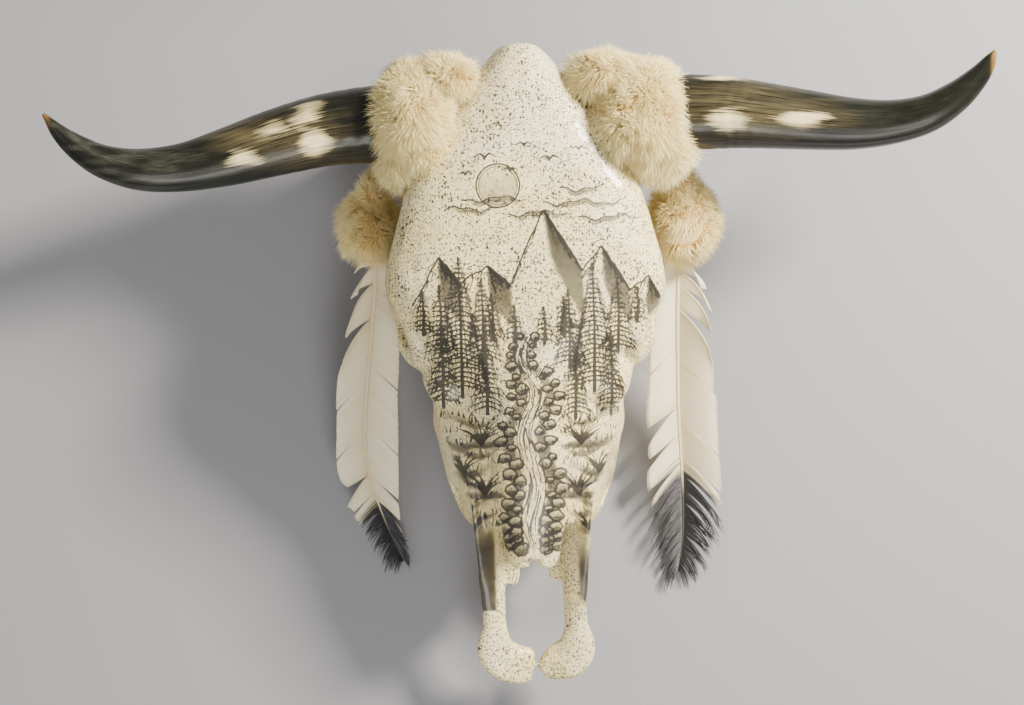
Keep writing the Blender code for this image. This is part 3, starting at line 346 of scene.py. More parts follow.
# Where the vane of each feather parts, on the side towards the skull and away from it: share of the
# quill and width of the gap. Then where its black begins.
SPLITS = {
    "left": (((0.16, 0.0008), (0.30, 0.001), (0.435, 0.007), (0.50, 0.004), (0.575, 0.005),
              (0.630, 0.009), (0.680, 0.008), (0.74, 0.006), (0.79, 0.007), (0.84, 0.005), (0.90, 0.004)),
             ((0.065, 0.010), (0.110, 0.008), (0.150, 0.005), (0.205, 0.008), (0.33, 0.0008), (0.47, 0.001),
              (0.56, 0.002), (0.61, 0.005), (0.66, 0.006), (0.70, 0.007), (0.76, 0.004), (0.82, 0.007),
              (0.88, 0.004))),
    "right": (((0.14, 0.0008), (0.33, 0.001), (0.50, 0.0008), (0.66, 0.002), (0.75, 0.003),
               (0.80, 0.004), (0.86, 0.005), (0.92, 0.003)),
              ((0.070, 0.010), (0.125, 0.009), (0.205, 0.008), (0.37, 0.0008), (0.52, 0.001),
               (0.655, 0.008), (0.72, 0.002), (0.78, 0.004), (0.83, 0.003), (0.89, 0.005))),
}
BLACK_FROM = {"left": 0.570, "right": 0.735}
BARB_SPAN = (0.012, 0.988)
QUILL_LENGTH = 0.286

# The picture: the point of the floor under the camera, how far the face lies from the camera, and
# what the photograph shows of it.
VIEW_CENTRE = (-0.01256, 0.0134)
FACE_DISTANCE = 2.8
PHOTO_WIDTH = 1024
PIXEL_SIZE = 0.000826
SENSOR_WIDTH = 36.0

# Lamps: name, place, power in watts, size and colour. All of them aim at the middle of the skull.
LAMPS = (
    ("key_light", (1.15, 0.75, 1.05), 110, 0.34, (1.0, 0.94, 0.82)),
    ("fill_light", (-1.6, -0.3, 1.6), 8, 1.4, (1.0, 0.98, 0.95)),
    ("front_light", (0.2, -1.6, 1.5), 30, 1.0, (1.0, 0.98, 0.94)),
)
LAMP_AIM = (0, 0, 0.1)
SKY_COLOUR = (1.0, 0.98, 0.95, 1.0)
SKY_STRENGTH = 0.36


# Numbers and grids

def smooth_rows(rows, count):
    """A station table resampled to count rows, on a Catmull-Rom curve through its rows."""
    rows = np.array(rows, float)
    steps = np.linspace(0, len(rows) - 1, count)
    first = np.clip(steps.astype(int), 0, len(rows) - 2)
    part = (steps - first)[:, None]
    padded = np.vstack([2 * rows[0] - rows[1], rows, 2 * rows[-1] - rows[-2]])
    a, b, c, d = (padded[first + k] for k in range(4))
    return b + 0.5 * part * (c - a + part * (2 * a - 5 * b + 4 * c - d + part * (3 * (b - c) + d - a)))


def smooth_step(value, low, high):
    """An S-shaped rise from 0 at low to 1 at high: 3s squared minus 2s cubed."""
    share = np.clip((value - low) / (high - low), 0, 1)
    return share * share * (3 - 2 * share)


def signed_power(value, power):
    """The power of the size of a value, with the sign of the value."""
    return np.sign(value) * np.abs(value) ** power


def lattice(cells, seed):
    """A number from -1 to 1 for each whole-number cell, by mixing the bits of its three numbers."""
    x, y, z = (cells[..., k].astype(np.int64) for k in range(3))
    mixed = (x * 374761393 + y * 668265263 + z * 1274126177 + seed * 974634777) & 0xFFFFFFFF
    mixed = ((mixed ^ (mixed >> 13)) * 1274126177) & 0xFFFFFFFF
    mixed = mixed ^ (mixed >> 16)
    return (mixed & 0xFFFF) / 32767.5 - 1


def cloud(points, size, seed):
    """Smooth noise from -1 to 1 with lumps of that size: the cubic blend of eight lattice numbers."""
    place = points / size
    cell = np.floor(place)
    part = place - cell
    part = part * part * (3 - 2 * part)
    total = 0
    for corner in np.ndindex(2, 2, 2):
        weight = np.prod(np.where(corner, part, 1 - part), axis=-1)
        total = total + weight * lattice(cell + corner, seed)
    return total


def unit(vectors):
    """Vectors brought to length 1."""
    return vectors / np.maximum(np.linalg.norm(vectors, axis=-1, keepdims=True), 1e-12)


def section_rings(rows, count, sides=40):
    """Rings across Y whose upper and lower halves are superellipses of their own squareness."""
    rows = smooth_rows(rows, count)
    y, half_width, top, side, bottom, crown, belly = (rows[:, k:k + 1] for k in range(7))
    angle = np.linspace(0, 2 * math.pi, sides, endpoint=False)[None]
    above = np.sin(angle) >= 0
    power = np.where(above, 2 / crown, 2 / belly)
    height = np.where(above, top - side, side - bottom)
    x = half_width * signed_power(np.cos(angle), power)
    z = side + height * signed_power(np.sin(angle), power)
    return np.stack([x, y + 0 * x, z], -1)


def sweep_frames(path, sign):
    """For each point of a path: unit vectors across and up, square to it, with no twist between them."""
    ahead = unit(np.gradient(path, axis=0))
    steep = np.abs(ahead[:, 2:]) > 0.8
    up = np.where(steep, (0.0, 1.0, 0.0), (0.0, 0.0, 1.0))
    up = unit(up - ahead * (ahead * up).sum(-1, keepdims=True))
    across = np.cross(ahead, up)
    lean = across[0, 0] * sign if abs(across[0, 0]) > 0.3 else across[0, 1]
    if lean < 0:
        across[0] *= -1
    for i in range(1, len(across)):
        if across[i] @ across[i - 1] < 0:
            across[i] *= -1
    return across, up


def sweep_rings(rows, count, sign, sides=24):
    """Rings along a path, each an ellipse square to it that is rolled about it."""
    rows = smooth_rows(rows, count)
    path = rows[:, :3] * (sign, 1, 1)
    across, up = sweep_frames(path, sign)
    turn = np.radians(rows[:, 5:6])
    across, up = across * np.cos(turn) + up * np.sin(turn), up * np.cos(turn) - across * np.sin(turn)
    angle = np.linspace(0, 2 * math.pi, sides, endpoint=False)
    wide = np.cos(angle)[None, :, None] * (across * rows[:, 3:4])[:, None]
    thick = np.sin(angle)[None, :, None] * (up * rows[:, 4:5])[:, None]
    return path[:, None] + wide + thick


def ellipsoid_rings(centre, radii, sign=1, turn=None, count=18, sides=28):
    """Rings of a stretched sphere: x and y go as the sine of the polar angle, z as its cosine."""
    polar = np.linspace(0.02, math.pi - 0.02, count)[:, None]
    angle = np.linspace(0, 2 * math.pi, sides, endpoint=False)[None]
    ball = np.stack([np.sin(polar) * np.cos(angle), np.sin(polar) * np.sin(angle),
                     np.cos(polar) + 0 * angle], -1) * radii
    if turn is not None:
        ball = ball @ np.array(turn).T
    return ball + np.array(centre) * (sign, 1, 1)


def ring_skin(rings):
    """The four-cornered faces between rings, with a fan on each end, pointing outwards."""
    count, sides = rings.shape[:2]
    index = np.arange(count * sides).reshape(count, sides)
    near, far = index[:-1], index[1:]
    quads = np.stack([near, np.roll(near, -1, 1), np.roll(far, -1, 1), far], -1).reshape(-1, 4)
    caps = [np.stack([ring, np.roll(ring, -1), np.full(sides, hub), np.full(sides, hub)], -1)
            for ring, hub in ((index[0][::-1], count * sides), (index[-1], count * sides + 1))]
    points = np.vstack([rings.reshape(-1, 3), rings[0].mean(0), rings[-1].mean(0)])
    triangles = np.vstack([quads[:, [0, 1, 2]], quads[:, [0, 2, 3]], caps[0][:, :3], caps[1][:, :3]])
    corner = points[triangles]
    volume = np.einsum("ij,ij->i", corner[:, 0], np.cross(corner[:, 1], corner[:, 2])).sum()
    return points, triangles if volume > 0 else triangles[:, ::-1]


def mesh_of(name, points, faces, smooth=True):
    """A mesh from a point array and a face array of equal corners."""
    mesh = bpy.data.meshes.new(name)
    mesh.vertices.add(len(points))
    mesh.vertices.foreach_set("co", np.ascontiguousarray(points, np.float32).ravel())
    count, corners = faces.shape
    mesh.loops.add(count * corners)
    mesh.loops.foreach_set("vertex_index", np.ascontiguousarray(faces, np.int32).ravel())
    mesh.polygons.add(count)
    mesh.polygons.foreach_set("loop_start", np.arange(count, dtype=np.int32) * corners)
    mesh.polygons.foreach_set("use_smooth", np.full(count, smooth))
    mesh.update(calc_edges=True)
    mesh.validate()
    return mesh


def object_of(name, mesh):
    """An object at the origin that holds a mesh."""
    made = bpy.data.objects.new(name, mesh)
    bpy.context.scene.collection.objects.link(made)
    return made


def shells_object(name, shells):
    """One object of several closed skins, each given as its rings."""
    points, faces, done = [], [], 0
    for rings in shells:
        some, corners = ring_skin(rings)
        points.append(some)
        faces.append(corners + done)
        done += len(some)
    return object_of(name, mesh_of(name, np.vstack(points), np.vstack(faces)))


def positions(mesh):
    """The places of all vertices, as one array."""
    points = np.empty(len(mesh.vertices) * 3, np.float32)
    mesh.vertices.foreach_get("co", points)
    return points.reshape(-1, 3).astype(float)


def normals(mesh):
    """The outward directions of all vertices, as one array."""
    ways = np.empty(len(mesh.vertices) * 3, np.float32)
    mesh.vertex_normals.foreach_get("vector", ways)
    return ways.reshape(-1, 3).astype(float)


def move_points(mesh, points):
    """Puts all vertices at new places."""
    mesh.vertices.foreach_set("co", np.ascontiguousarray(points, np.float32).ravel())
    mesh.update()


def paint(mesh, name, values):
    """A colour attribute of one value, or of up to four, for each point."""
    values = np.asarray(values, float)
    if values.ndim == 1:
        values = values[:, None]
    colours = np.ones((len(values), 4), np.float32)
    colours[:, :values.shape[1]] = values
    layer = mesh.color_attributes.new(name, "FLOAT_COLOR", "POINT")
    layer.data.foreach_set("color", colours.ravel())


def corner_map(mesh, name, per_point):
    """A UV map that gives each face corner the place of its point."""
    index = np.empty(len(mesh.loops), np.int32)
    mesh.loops.foreach_get("vertex_index", index)
    layer = mesh.uv_layers.new(name=name)
    layer.data.foreach_set("uv", np.ascontiguousarray(per_point[index], np.float32).ravel())


def apply_modifiers(target):
    """Replaces the object's mesh by what its modifiers make of it."""
    graph = bpy.context.evaluated_depsgraph_get()
    mesh = bpy.data.meshes.new_from_object(target.evaluated_get(graph))
    old = target.data
    target.modifiers.clear()
    target.data = mesh
    bpy.data.meshes.remove(old)


def boolean(target, other, operation):
    """Cuts or joins another closed object, which is then removed."""
    step = target.modifiers.new("step", "BOOLEAN")
    step.object = other
    step.operation = operation
    step.solver = "MANIFOLD"
    apply_modifiers(target)
    mesh = other.data
    bpy.data.objects.remove(other)
    bpy.data.meshes.remove(mesh)


def copy_of(source, name):
    """A second object with a mesh of its own."""
    made = source.copy()
    made.data = source.data.copy()
    made.name = name
    bpy.context.scene.collection.objects.link(made)
    return made


# Materials

class Shader:
    """A short way to lay out a material's nodes."""

    def __init__(self, name):
        self.made = bpy.data.materials.new(name)
        self.made.use_nodes = True
        self.tree = self.made.node_tree
        self.surface = self.tree.nodes["Principled BSDF"]

    def node(self, kind, **settings):
        """A new node with its settings."""
        made = self.tree.nodes.new(kind)
        for key, value in settings.items():
            setattr(made, key, value)
        return made

    def link(self, source, target):
        """Joins an output to an input."""
        self.tree.links.new(source, target)

    def fill(self, socket, value):
        """Gives an input a value, or joins an output to it."""
        if isinstance(value, bpy.types.NodeSocket):
            self.link(value, socket)
        else:
            socket.default_value = value

    def set(self, **values):
        """Fills inputs of the surface by name, with low lines for spaces."""
        for key, value in values.items():
            self.fill(self.surface.inputs[key.replace("_", " ")], value)

    def place(self, scale=(1, 1, 1)):
        """Object coordinates, stretched along the axes."""
        where = self.node("ShaderNodeTexCoord")
        stretch = self.node("ShaderNodeMapping")
        stretch.inputs["Scale"].default_value = scale
        self.link(where.outputs["Object"], stretch.inputs["Vector"])
        return stretch.outputs["Vector"]

    def map(self, name, scale=(1, 1, 1)):
        """Coordinates of a named UV map, stretched."""
        where = self.node("ShaderNodeUVMap", uv_map=name)
        stretch = self.node("ShaderNodeMapping")
        stretch.inputs["Scale"].default_value = scale
        self.link(where.outputs["UV"], stretch.inputs["Vector"])
        return stretch.outputs["Vector"]

    def painted(self, name):
        """The three channels and the alpha of a colour attribute."""
        layer = self.node("ShaderNodeAttribute", attribute_name=name)
        parts = self.node("ShaderNodeSeparateColor")
        self.link(layer.outputs["Color"], parts.inputs["Color"])
        return (*parts.outputs[:3], layer.outputs["Alpha"])

    def noise(self, vector, scale, detail=3.0, roughness=0.55):
        """Fractal noise, from 0 to 1."""
        made = self.node("ShaderNodeTexNoise")
        self.link(vector, made.inputs["Vector"])
        made.inputs["Scale"].default_value = scale
        made.inputs["Detail"].default_value = detail
        made.inputs["Roughness"].default_value = roughness
        return made.outputs["Fac"]

    def cells(self, vector, scale):
        """Scattered cells, for flecks."""
        made = self.node("ShaderNodeTexVoronoi")
        self.link(vector, made.inputs["Vector"])
        made.inputs["Scale"].default_value = scale
        return made

    def math(self, operation, a, b):
        """One step of arithmetic on two values."""
        made = self.node("ShaderNodeMath", operation=operation)
        self.fill(made.inputs[0], a)
        self.fill(made.inputs[1], b)
        return made.outputs[0]

    def range(self, value, low, high, to_low=0.0, to_high=1.0):
        """A value carried from one span to another and held at its ends."""
        made = self.node("ShaderNodeMapRange", clamp=True)
        for socket, number in zip(made.inputs, (value, low, high, to_low, to_high)):
            self.fill(socket, number)
        return made.outputs[0]

    def mix(self, share, first, second):
        """Two colours mixed by a share; inputs 6 and 7 are the colour ones of this node."""
        made = self.node("ShaderNodeMix", data_type="RGBA")
        self.fill(made.inputs["Factor"], share)
        self.fill(made.inputs[6], self.colour(first))
        self.fill(made.inputs[7], self.colour(second))
        return made.outputs[2]

    @staticmethod
    def colour(value):
        """A colour with an alpha of 1 where it has none."""
        return (*value, 1.0) if isinstance(value, (tuple, list)) and len(value) == 3 else value

    def bump(self, height, strength, distance, after=None):
        """Small relief from a height, over any relief before it."""
        made = self.node("ShaderNodeBump")
        made.inputs["Strength"].default_value = strength
        made.inputs["Distance"].default_value = distance
        self.link(height, made.inputs["Height"])
        if after is not None:
            self.link(after, made.inputs["Normal"])
        return made.outputs["Normal"]


# Colours of the paint: where it has aged, its cool cast, tan stains, which also give the painted shade where
# the bone faces down, and sepia washes.
AGED_PAINT = (0.90, 0.74, 0.34)
COOL_PAINT = (0.80, 0.79, 0.68)
TAN_STAIN_AND_SHADE = (0.70, 0.47, 0.15)
SEPIA_WASH = (0.20, 0.125, 0.05)

# Sizes of fleck: cells in a metre, stretch, which of the cells hold one, largest size and depth.
FLECKS = (
    (400, (1.0, 0.6, 1.0), 0.45, 0.42, 0.95),
    (620, (0.6, 1.0, 1.0), 0.0, 0.52, 0.92),
    (900, (1.0, 0.7, 1.0), 0.0, 0.58, 0.88),
)

# Layers of hatching: direction in degrees, and the shading that each begins at.
HATCHING = ((38, 0.0), (-24, 0.35))

DENTINE = (0.62, 0.53, 0.36)
TOOTH_RIDGE = (0.34, 0.25, 0.13)
HORN_FIBRE = (0.018, 0.019, 0.012)
HORN_BROWN = (0.125, 0.098, 0.046)
HORN_CHALK = (0.085, 0.09, 0.065)
HORN_CREAM = (0.86, 0.74, 0.44)
HORN_BUFF = (0.60, 0.47, 0.22)
HORN_AMBER = (0.22, 0.12, 0.035)
HAIR_ROOT = ((0.88, 0.50, 0.13), (1.0, 0.73, 0.26))
HAIR_TIP = (1.0, 0.91, 0.52)
PELT_TONES = ((0.92, 0.64, 0.28), (1.0, 0.78, 0.42))
HIDE_TONES = ((0.33, 0.19, 0.085), (0.52, 0.35, 0.18))
BARB_CREAM = (0.86, 0.75, 0.48)
BARB_SHADE = (0.62, 0.48, 0.24)
BARB_BLACK = (0.018, 0.018, 0.022)
QUILL_TONES = ((0.78, 0.66, 0.44), (0.66, 0.52, 0.31))
QUILL_DARK = (0.05, 0.04, 0.035)


def painted_bone(options):
    """Varnished off-white paint with dark flecks, tan stains and painted shade where the bone faces down,
    sepia washes, ink lines and hatching.
    """
    s = Shader("painted_bone")
    place = s.place()
    ink, tone, stain, cool = s.painted("paint")
    wash, dull, _, _ = s.painted("tint")
    ground = s.mix(s.range(s.noise(place, 28, 4), 0.35, 0.7), tuple(options.paint), AGED_PAINT)
    ground = s.mix(s.math("MULTIPLY", cool, 0.8), ground, COOL_PAINT)
    patchy = s.range(s.noise(place, 60, 5, 0.7), 0.3, 0.7, 0.3, 1.0)
    # The third channel of the paint holds tan stains together with painted shade where the bone faces down.
    ground = s.mix(s.math("MULTIPLY", stain, patchy), ground, TAN_STAIN_AND_SHADE)
    cloudy = s.range(s.noise(place, 110, 5, 0.7), 0.28, 0.72, 0.25, 1.0)
    ground = s.mix(s.math("MULTIPLY", wash, cloudy), ground, SEPIA_WASH)

    drift = s.range(s.noise(place, 45, 3), 0.30, 0.66, 0.72, 1.0)
    drift = s.math("MULTIPLY", drift, s.math("SUBTRACT", 1.0, dull))
    speckled = ground
    for scale, stretch, least, most, depth in FLECKS:
        grid = s.cells(s.place(stretch), scale)
        parts = s.node("ShaderNodeSeparateColor")
        s.link(grid.outputs["Color"], parts.inputs["Color"])
        size = s.math("MULTIPLY", s.range(parts.outputs[0], least, 1.0, 0.0, most), drift)
        dots = s.math("LESS_THAN", grid.outputs["Distance"], size)
        speckled = s.mix(s.math("MULTIPLY", dots, depth), speckled, tuple(options.fleck))

    hatched = speckled
    for turn, least in HATCHING:
        lay = s.node("ShaderNodeTexCoord")
        bend = s.node("ShaderNodeMapping")
        bend.inputs["Rotation"].default_value = (0, 0, math.radians(turn))
        s.link(lay.outputs["Object"], bend.inputs["Vector"])
        bands = s.node("ShaderNodeTexWave", wave_type="BANDS", bands_direction="X")
        s.link(bend.outputs["Vector"], bands.inputs["Vector"])
        bands.inputs["Scale"].default_value = 210
        bands.inputs["Distortion"].default_value = 3.0
        bands.inputs["Detail"].default_value = 2.0
        bands.inputs["Detail Scale"].default_value = 0.5
        deep = s.math("SUBTRACT", tone, least)
        over = s.math("SUBTRACT", s.math("MULTIPLY", deep, 1.15), bands.outputs["Fac"])
        over = s.math("ADD", over, s.range(s.noise(place, 900, 2), 0.3, 0.7, -0.12, 0.12))
        hatched = s.mix(s.range(over, -0.06, 0.10, 0.0, 0.92), hatched, tuple(options.ink))
    rough_edge = s.math("ADD", ink, s.range(s.noise(place, 900, 2), 0.3, 0.7, -0.10, 0.10))
    inked = s.mix(s.range(rough_edge, 0.34, 0.52, 0.0, 0.95), hatched, tuple(options.ink))
    normal = s.bump(s.noise(place, 160, 5, 0.6), 0.30, 0.0007)
    normal = s.bump(s.noise(place, 1500, 2), 0.12, 0.0002, normal)
    s.set(Base_Color=inked, Roughness=0.50, Coat_Weight=0.38, Coat_Roughness=0.12, Normal=normal)
    return s.made


def enamel():
    """Worn cheek teeth: tan dentine with darker ridges."""
    s = Shader("tooth_enamel")
    place = s.place((1.0, 1.0, 0.35))
    tone = s.mix(s.range(s.noise(place, 320, 4), 0.3, 0.7), DENTINE, TOOTH_RIDGE)
    normal = s.bump(s.noise(place, 500, 3), 0.4, 0.0005)
    s.set(Base_Color=tone, Roughness=0.35, Coat_Weight=0.3, Coat_Roughness=0.2, Normal=normal)
    return s.made


def polished_horn(options):
    """Dark horn with fibres along it, pale patches and an amber tip."""
    s = Shader("polished_horn")
    along = s.map("fibres", (9.0, 130.0, 1.0))
    fine = s.map("fibres", (22.0, 420.0, 1.0))
    pale, amber, brown, chalk = s.painted("horn")
    streak = s.noise(along, 1.0, 5, 0.65)
    thread = s.noise(fine, 1.0, 3, 0.6)
    dark = s.mix(s.range(streak, 0.38, 0.72), tuple(options.horn), HORN_FIBRE)
    dark = s.mix(s.math("MULTIPLY", brown, s.range(streak, 0.35, 0.6)), dark, HORN_BROWN)
    dark = s.mix(s.math("MULTIPLY", chalk, s.range(thread, 0.42, 0.66)), dark, HORN_CHALK)
    ragged = s.math("ADD", pale, s.range(streak, 0.3, 0.7, -0.30, 0.30))
    cream = s.mix(s.range(thread, 0.35, 0.7), HORN_CREAM, HORN_BUFF)
    dark = s.mix(s.range(ragged, 0.30, 0.85), dark, cream)
    dark = s.mix(s.math("MULTIPLY", amber, s.range(thread, 0.3, 0.6, 0.5, 1.0)), dark, HORN_AMBER)
    normal = s.bump(thread, 0.30, 0.0003)
    s.set(Base_Color=dark, Roughness=s.range(thread, 0.3, 0.7, 0.24, 0.38), Coat_Weight=0.14,
          Coat_Roughness=0.12, Specular_IOR_Level=0.28, Normal=normal)
    return s.made


def soft_fur(options):
    """Cream hair, tan at its roots and near white at its tips."""
    s = Shader("rabbit_fur")
    tone, along, clump, _ = s.painted("hair")
    root = s.mix(clump, *HAIR_ROOT)
    tip = s.mix(tone, tuple(options.fur), HAIR_TIP)
    s.set(Base_Color=s.mix(s.range(along, 0.0, 0.45), root, tip), Roughness=0.6, Sheen_Weight=0.15,
          Sheen_Roughness=0.4)
    return s.made


def felt():
    """The pelt under the hair."""
    s = Shader("pelt")
    tone = s.mix(s.noise(s.place(), 250, 4), *PELT_TONES)
    s.set(Base_Color=tone, Roughness=0.9)
    return s.made


def hide():
    """Tanned hide."""
    s = Shader("tanned_hide")
    place = s.place()
    tone = s.mix(s.range(s.noise(place, 300, 4), 0.3, 0.7), *HIDE_TONES)
    s.set(Base_Color=tone, Roughness=0.7, Normal=s.bump(s.noise(place, 900, 3), 0.5, 0.0004))
    return s.made


def feather_vane(options):
    """White barbs that turn black towards the tip, with painted shade near the quill and along the partings.
    """
    s = Shader("feather_vane")
    black, tone, shade, _ = s.painted("barb")
    white = s.mix(tone, tuple(options.feather), BARB_CREAM)
    # Painted shade: darker tan on the barbs near the quill and along the partings of the vane.
    white = s.mix(shade, white, BARB_SHADE)
    s.set(Base_Color=s.mix(black, white, BARB_BLACK), Roughness=0.6, Sheen_Weight=0.25,
          Sheen_Roughness=0.4)
    return s.made


def quill_horn():
    """A cream quill that goes dark towards the tip."""
    s = Shader("feather_quill")
    black, _, _, _ = s.painted("barb")
    tone = s.mix(s.noise(s.place(), 400, 3), *QUILL_TONES)
    s.set(Base_Color=s.mix(black, tone, QUILL_DARK), Roughness=0.35, Coat_Weight=0.3, Coat_Roughness=0.2)
    return s.made


def dress(piece, body_material, nodes=()):
    """Gives a finished piece its material and body, and hides the nodes that it stands for."""
    piece.data.materials.clear()
    piece.data.materials.append(body_material)
    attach(piece, "root")
    if nodes:
        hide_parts(*nodes)


# The bone

# Unevenness of old bone: height, size of the lumps and seed.
WEATHER = ((0.0007, 0.030, 3), (0.0003, 0.011, 4), (0.00014, 0.0045, 5))
THINNED_SHARE = 0.62
SHARP_FROM = math.radians(50)


def orbit_turn(sign):
    """The turn that takes Z to the axis of an eye socket."""
    axis = Vector((ORBIT_AXIS[0] * sign, ORBIT_AXIS[1], ORBIT_AXIS[2]))
    return axis.to_track_quat("Z", "Y").to_matrix()


def orbit_rim(sign, steps=64, sides=16):
    """A ring round the eye socket: a circle of one radius swept along a circle of another."""
    around = np.linspace(0, 2 * math.pi, steps, endpoint=False)[:, None]
    tilt = np.linspace(0, 2 * math.pi, sides, endpoint=False)[None]
    reach = ORBIT_RIM_RADIUS + ORBIT_RIM_THICKNESS * np.cos(tilt)
    ring = np.stack([reach * np.cos(around), reach * np.sin(around),
                     ORBIT_RIM_THICKNESS * np.sin(tilt) + 0 * around], -1)
    return ring @ np.array(orbit_turn(sign)).T + np.array(ORBIT_CENTRE) * (sign, 1, 1)


def closed_ring_faces(steps, sides):
    """Quads of a grid that closes both ways."""
    index = np.arange(steps * sides).reshape(steps, sides)
    ahead = np.roll(index, -1, 0)
    return np.stack([index, ahead, np.roll(ahead, -1, 1), np.roll(index, -1, 1)], -1).reshape(-1, 4)


def join_objects(target, others):
    """Puts the meshes of other objects into the target's."""
    build = bmesh.new()
    for one in (target, *others):
        build.from_mesh(one.data)
    build.to_mesh(target.data)
    build.free()
    for other in others:
        mesh = other.data
        bpy.data.objects.remove(other)
        bpy.data.meshes.remove(mesh)


def remesh(target, voxel, rounds):
    """Fuses closed forms into one skin of even quads, then softens it."""
    fuse = target.modifiers.new("fuse", "REMESH")
    fuse.mode = "VOXEL"
    fuse.voxel_size = voxel
    soften = target.modifiers.new("soften", "SMOOTH")
    soften.factor = 0.5
    soften.iterations = rounds
    apply_modifiers(target)


def fused_skull(voxel):
    """All the bone as one skin: forms fused, hollows cut, then softened."""
    shells = [section_rings(table, count) for table, count in (
        (FOREHEAD, 90), (MUZZLE, 70), (NASAL_ROOF, 60), (BRAINCASE, 50), (SKULL_BASE, 40), (PALATE, 30))]
    rims = []
    for side, sign in SIDES.items():
        shells += [sweep_rings(table, count, sign) for table, count in (
            (NASAL_TIPS[side], 24), (PALATINE_FLAP[side], 24), (INCISIVE[side], 80), (ARCH, 60),
            (PARACONDYLAR, 30), (PTERYGOID, 40), (HORN_CORE, 30))]
        shells += [ellipsoid_rings(centre, radii, sign) for centre, radii in (
            CHEEKBONE, LACRIMAL, CONDYLE, BULLA, FACIAL_TUBER)]
        rim = orbit_rim(sign)
        mesh = mesh_of("rim", rim.reshape(-1, 3), closed_ring_faces(*rim.shape[:2]))
        rims.append(object_of("rim", mesh))
    skull = shells_object("skull", shells)
    join_objects(skull, rims)
    build = bmesh.new()
    build.from_mesh(skull.data)
    bmesh.ops.recalc_face_normals(build, faces=build.faces)
    build.to_mesh(skull.data)
    build.free()
    remesh(skull, voxel, 3)

    hollows = [section_rings(NASAL_CAVITY, 50), section_rings(PALATE_VAULT, 50),
               ellipsoid_rings(*FORAMEN_MAGNUM), ellipsoid_rings(*PALATINE_NOTCH)]
    for sign in SIDES.values():
        centre = np.array(ORBIT_CENTRE) - np.array(ORBIT_AXIS) * ORBIT_MOUTH_DEPTH
        hollows += [ellipsoid_rings(centre, ORBIT_MOUTH, sign, orbit_turn(sign)),
                    ellipsoid_rings(*TEMPORAL_HOLLOW, sign), ellipsoid_rings(*INFRAORBITAL, sign),
                    ellipsoid_rings(*SUPRAORBITAL_GROOVE, sign)]
    for rings in hollows:
        boolean(skull, shells_object("hollow", [rings]), "DIFFERENCE")
    remesh(skull, voxel, 3)
    return skull


def weather(skull):
    """Moves the skin along its normals by noise of several sizes, as old bone is uneven."""
    mesh = skull.data
    points, ways = positions(mesh), normals(mesh)
    swell = sum(height * cloud(points, size, seed) for height, size, seed in WEATHER)
    move_points(mesh, points + ways * swell[:, None])


def region_object(rings):
    """A closed region, as an object to cut with."""
    return shells_object("region", [rings])


def box_rings(sign, low, high):
    """A box on one side, as two square rings along Y."""
    x0, x1 = sorted((low[0] * sign, high[0] * sign))
    square = np.array([(x0, 0, low[2]), (x1, 0, low[2]), (x1, 0, high[2]), (x0, 0, high[2])])
    return np.stack([square + (0, low[1], 0), square + (0, high[1], 0)])


def nasal_rings():
    """The slab that holds the nasal bones, as rings along Y."""
    rows = np.array(NASAL_REGION)
    half, low, high = rows[:, 1], rows[:, 2], np.full(len(rows), REGION_TOP)
    corners = [np.stack([a, rows[:, 0], b], -1)
               for a, b in ((-half, low), (half, low), (half, high), (-half, high))]
    return np.stack(corners, 1)


def maxilla_rings(sign):
    """The block that holds one maxilla, as two rings along X."""
    back_top, back_low = MAXILLA_BACK
    ring = np.array([(MAXILLA_FRONT, REGION_FOOT), (back_low, REGION_FOOT),
                     (back_top, REGION_TOP), (MAXILLA_FRONT, REGION_TOP)])
    return np.stack([np.column_stack([np.full(4, x * sign), ring]) for x in (0.0, REGION_OUT)])


def take_off(skull, name, rings):
    """Parts a bone from the skull by a closed region."""
    bone = copy_of(skull, name)
    boolean(bone, region_object(rings), "INTERSECT")
    boolean(skull, region_object(rings), "DIFFERENCE")
    return bone


def thin_below(bone):
    """Fewer, larger faces where the bone looks down or inwards and nothing is drawn."""
    ways = normals(bone.data)
    low = np.flatnonzero(ways[:, 2] < 0.0)
    group = bone.vertex_groups.new(name="below")
    group.add(low.tolist(), 1.0, "REPLACE")
    thin = bone.modifiers.new("thin", "DECIMATE")
    thin.vertex_group = group.name
    thin.ratio = 1 - THINNED_SHARE * len(low) / len(ways)
    apply_modifiers(bone)
    bone.vertex_groups.clear()


def refine(bone, sheet, margin):
    """Splits the faces that look up and lie near drawn lines, or all of them where there is no
    sheet, so that the paint has points close enough together."""
    build = bmesh.new()
    build.from_mesh(bone.data)
    build.normal_update()
    build.verts.index_update()
    busy = np.ones(len(build.verts), bool)
    if sheet is not None:
        points = positions(bone.data)
        ink = np.stack([sheet.at(points[:, 0] + u, points[:, 1] + v)
                        for u in (-margin, 0, margin) for v in (-margin, 0, margin)])
        busy = (ink.max(0) > 0.25) & (ink.min(0) < 0.75) & (points[:, 2] > 0.09)
    edges = {edge for face in build.faces if face.normal.z > 0.12 and len(face.verts) < 5
             for edge in face.edges if busy[edge.verts[0].index] or busy[edge.verts[1].index]}
    bmesh.ops.subdivide_edges(build, edges=list(edges), cuts=1, use_grid_fill=True)
    build.to_mesh(bone.data)
    build.free()


# The drawing

# The sheet's corners, the cells of its lines and of its shading, and how far round a drawn line the
# skin is split once and twice.
SHEET = ((-0.13, -0.25), (0.13, 0.22))
LINE_CELL = 0.00035
TONE_CELL = 0.00070
NEAR_LINES = 0.0012
ON_LINES = 0.0004

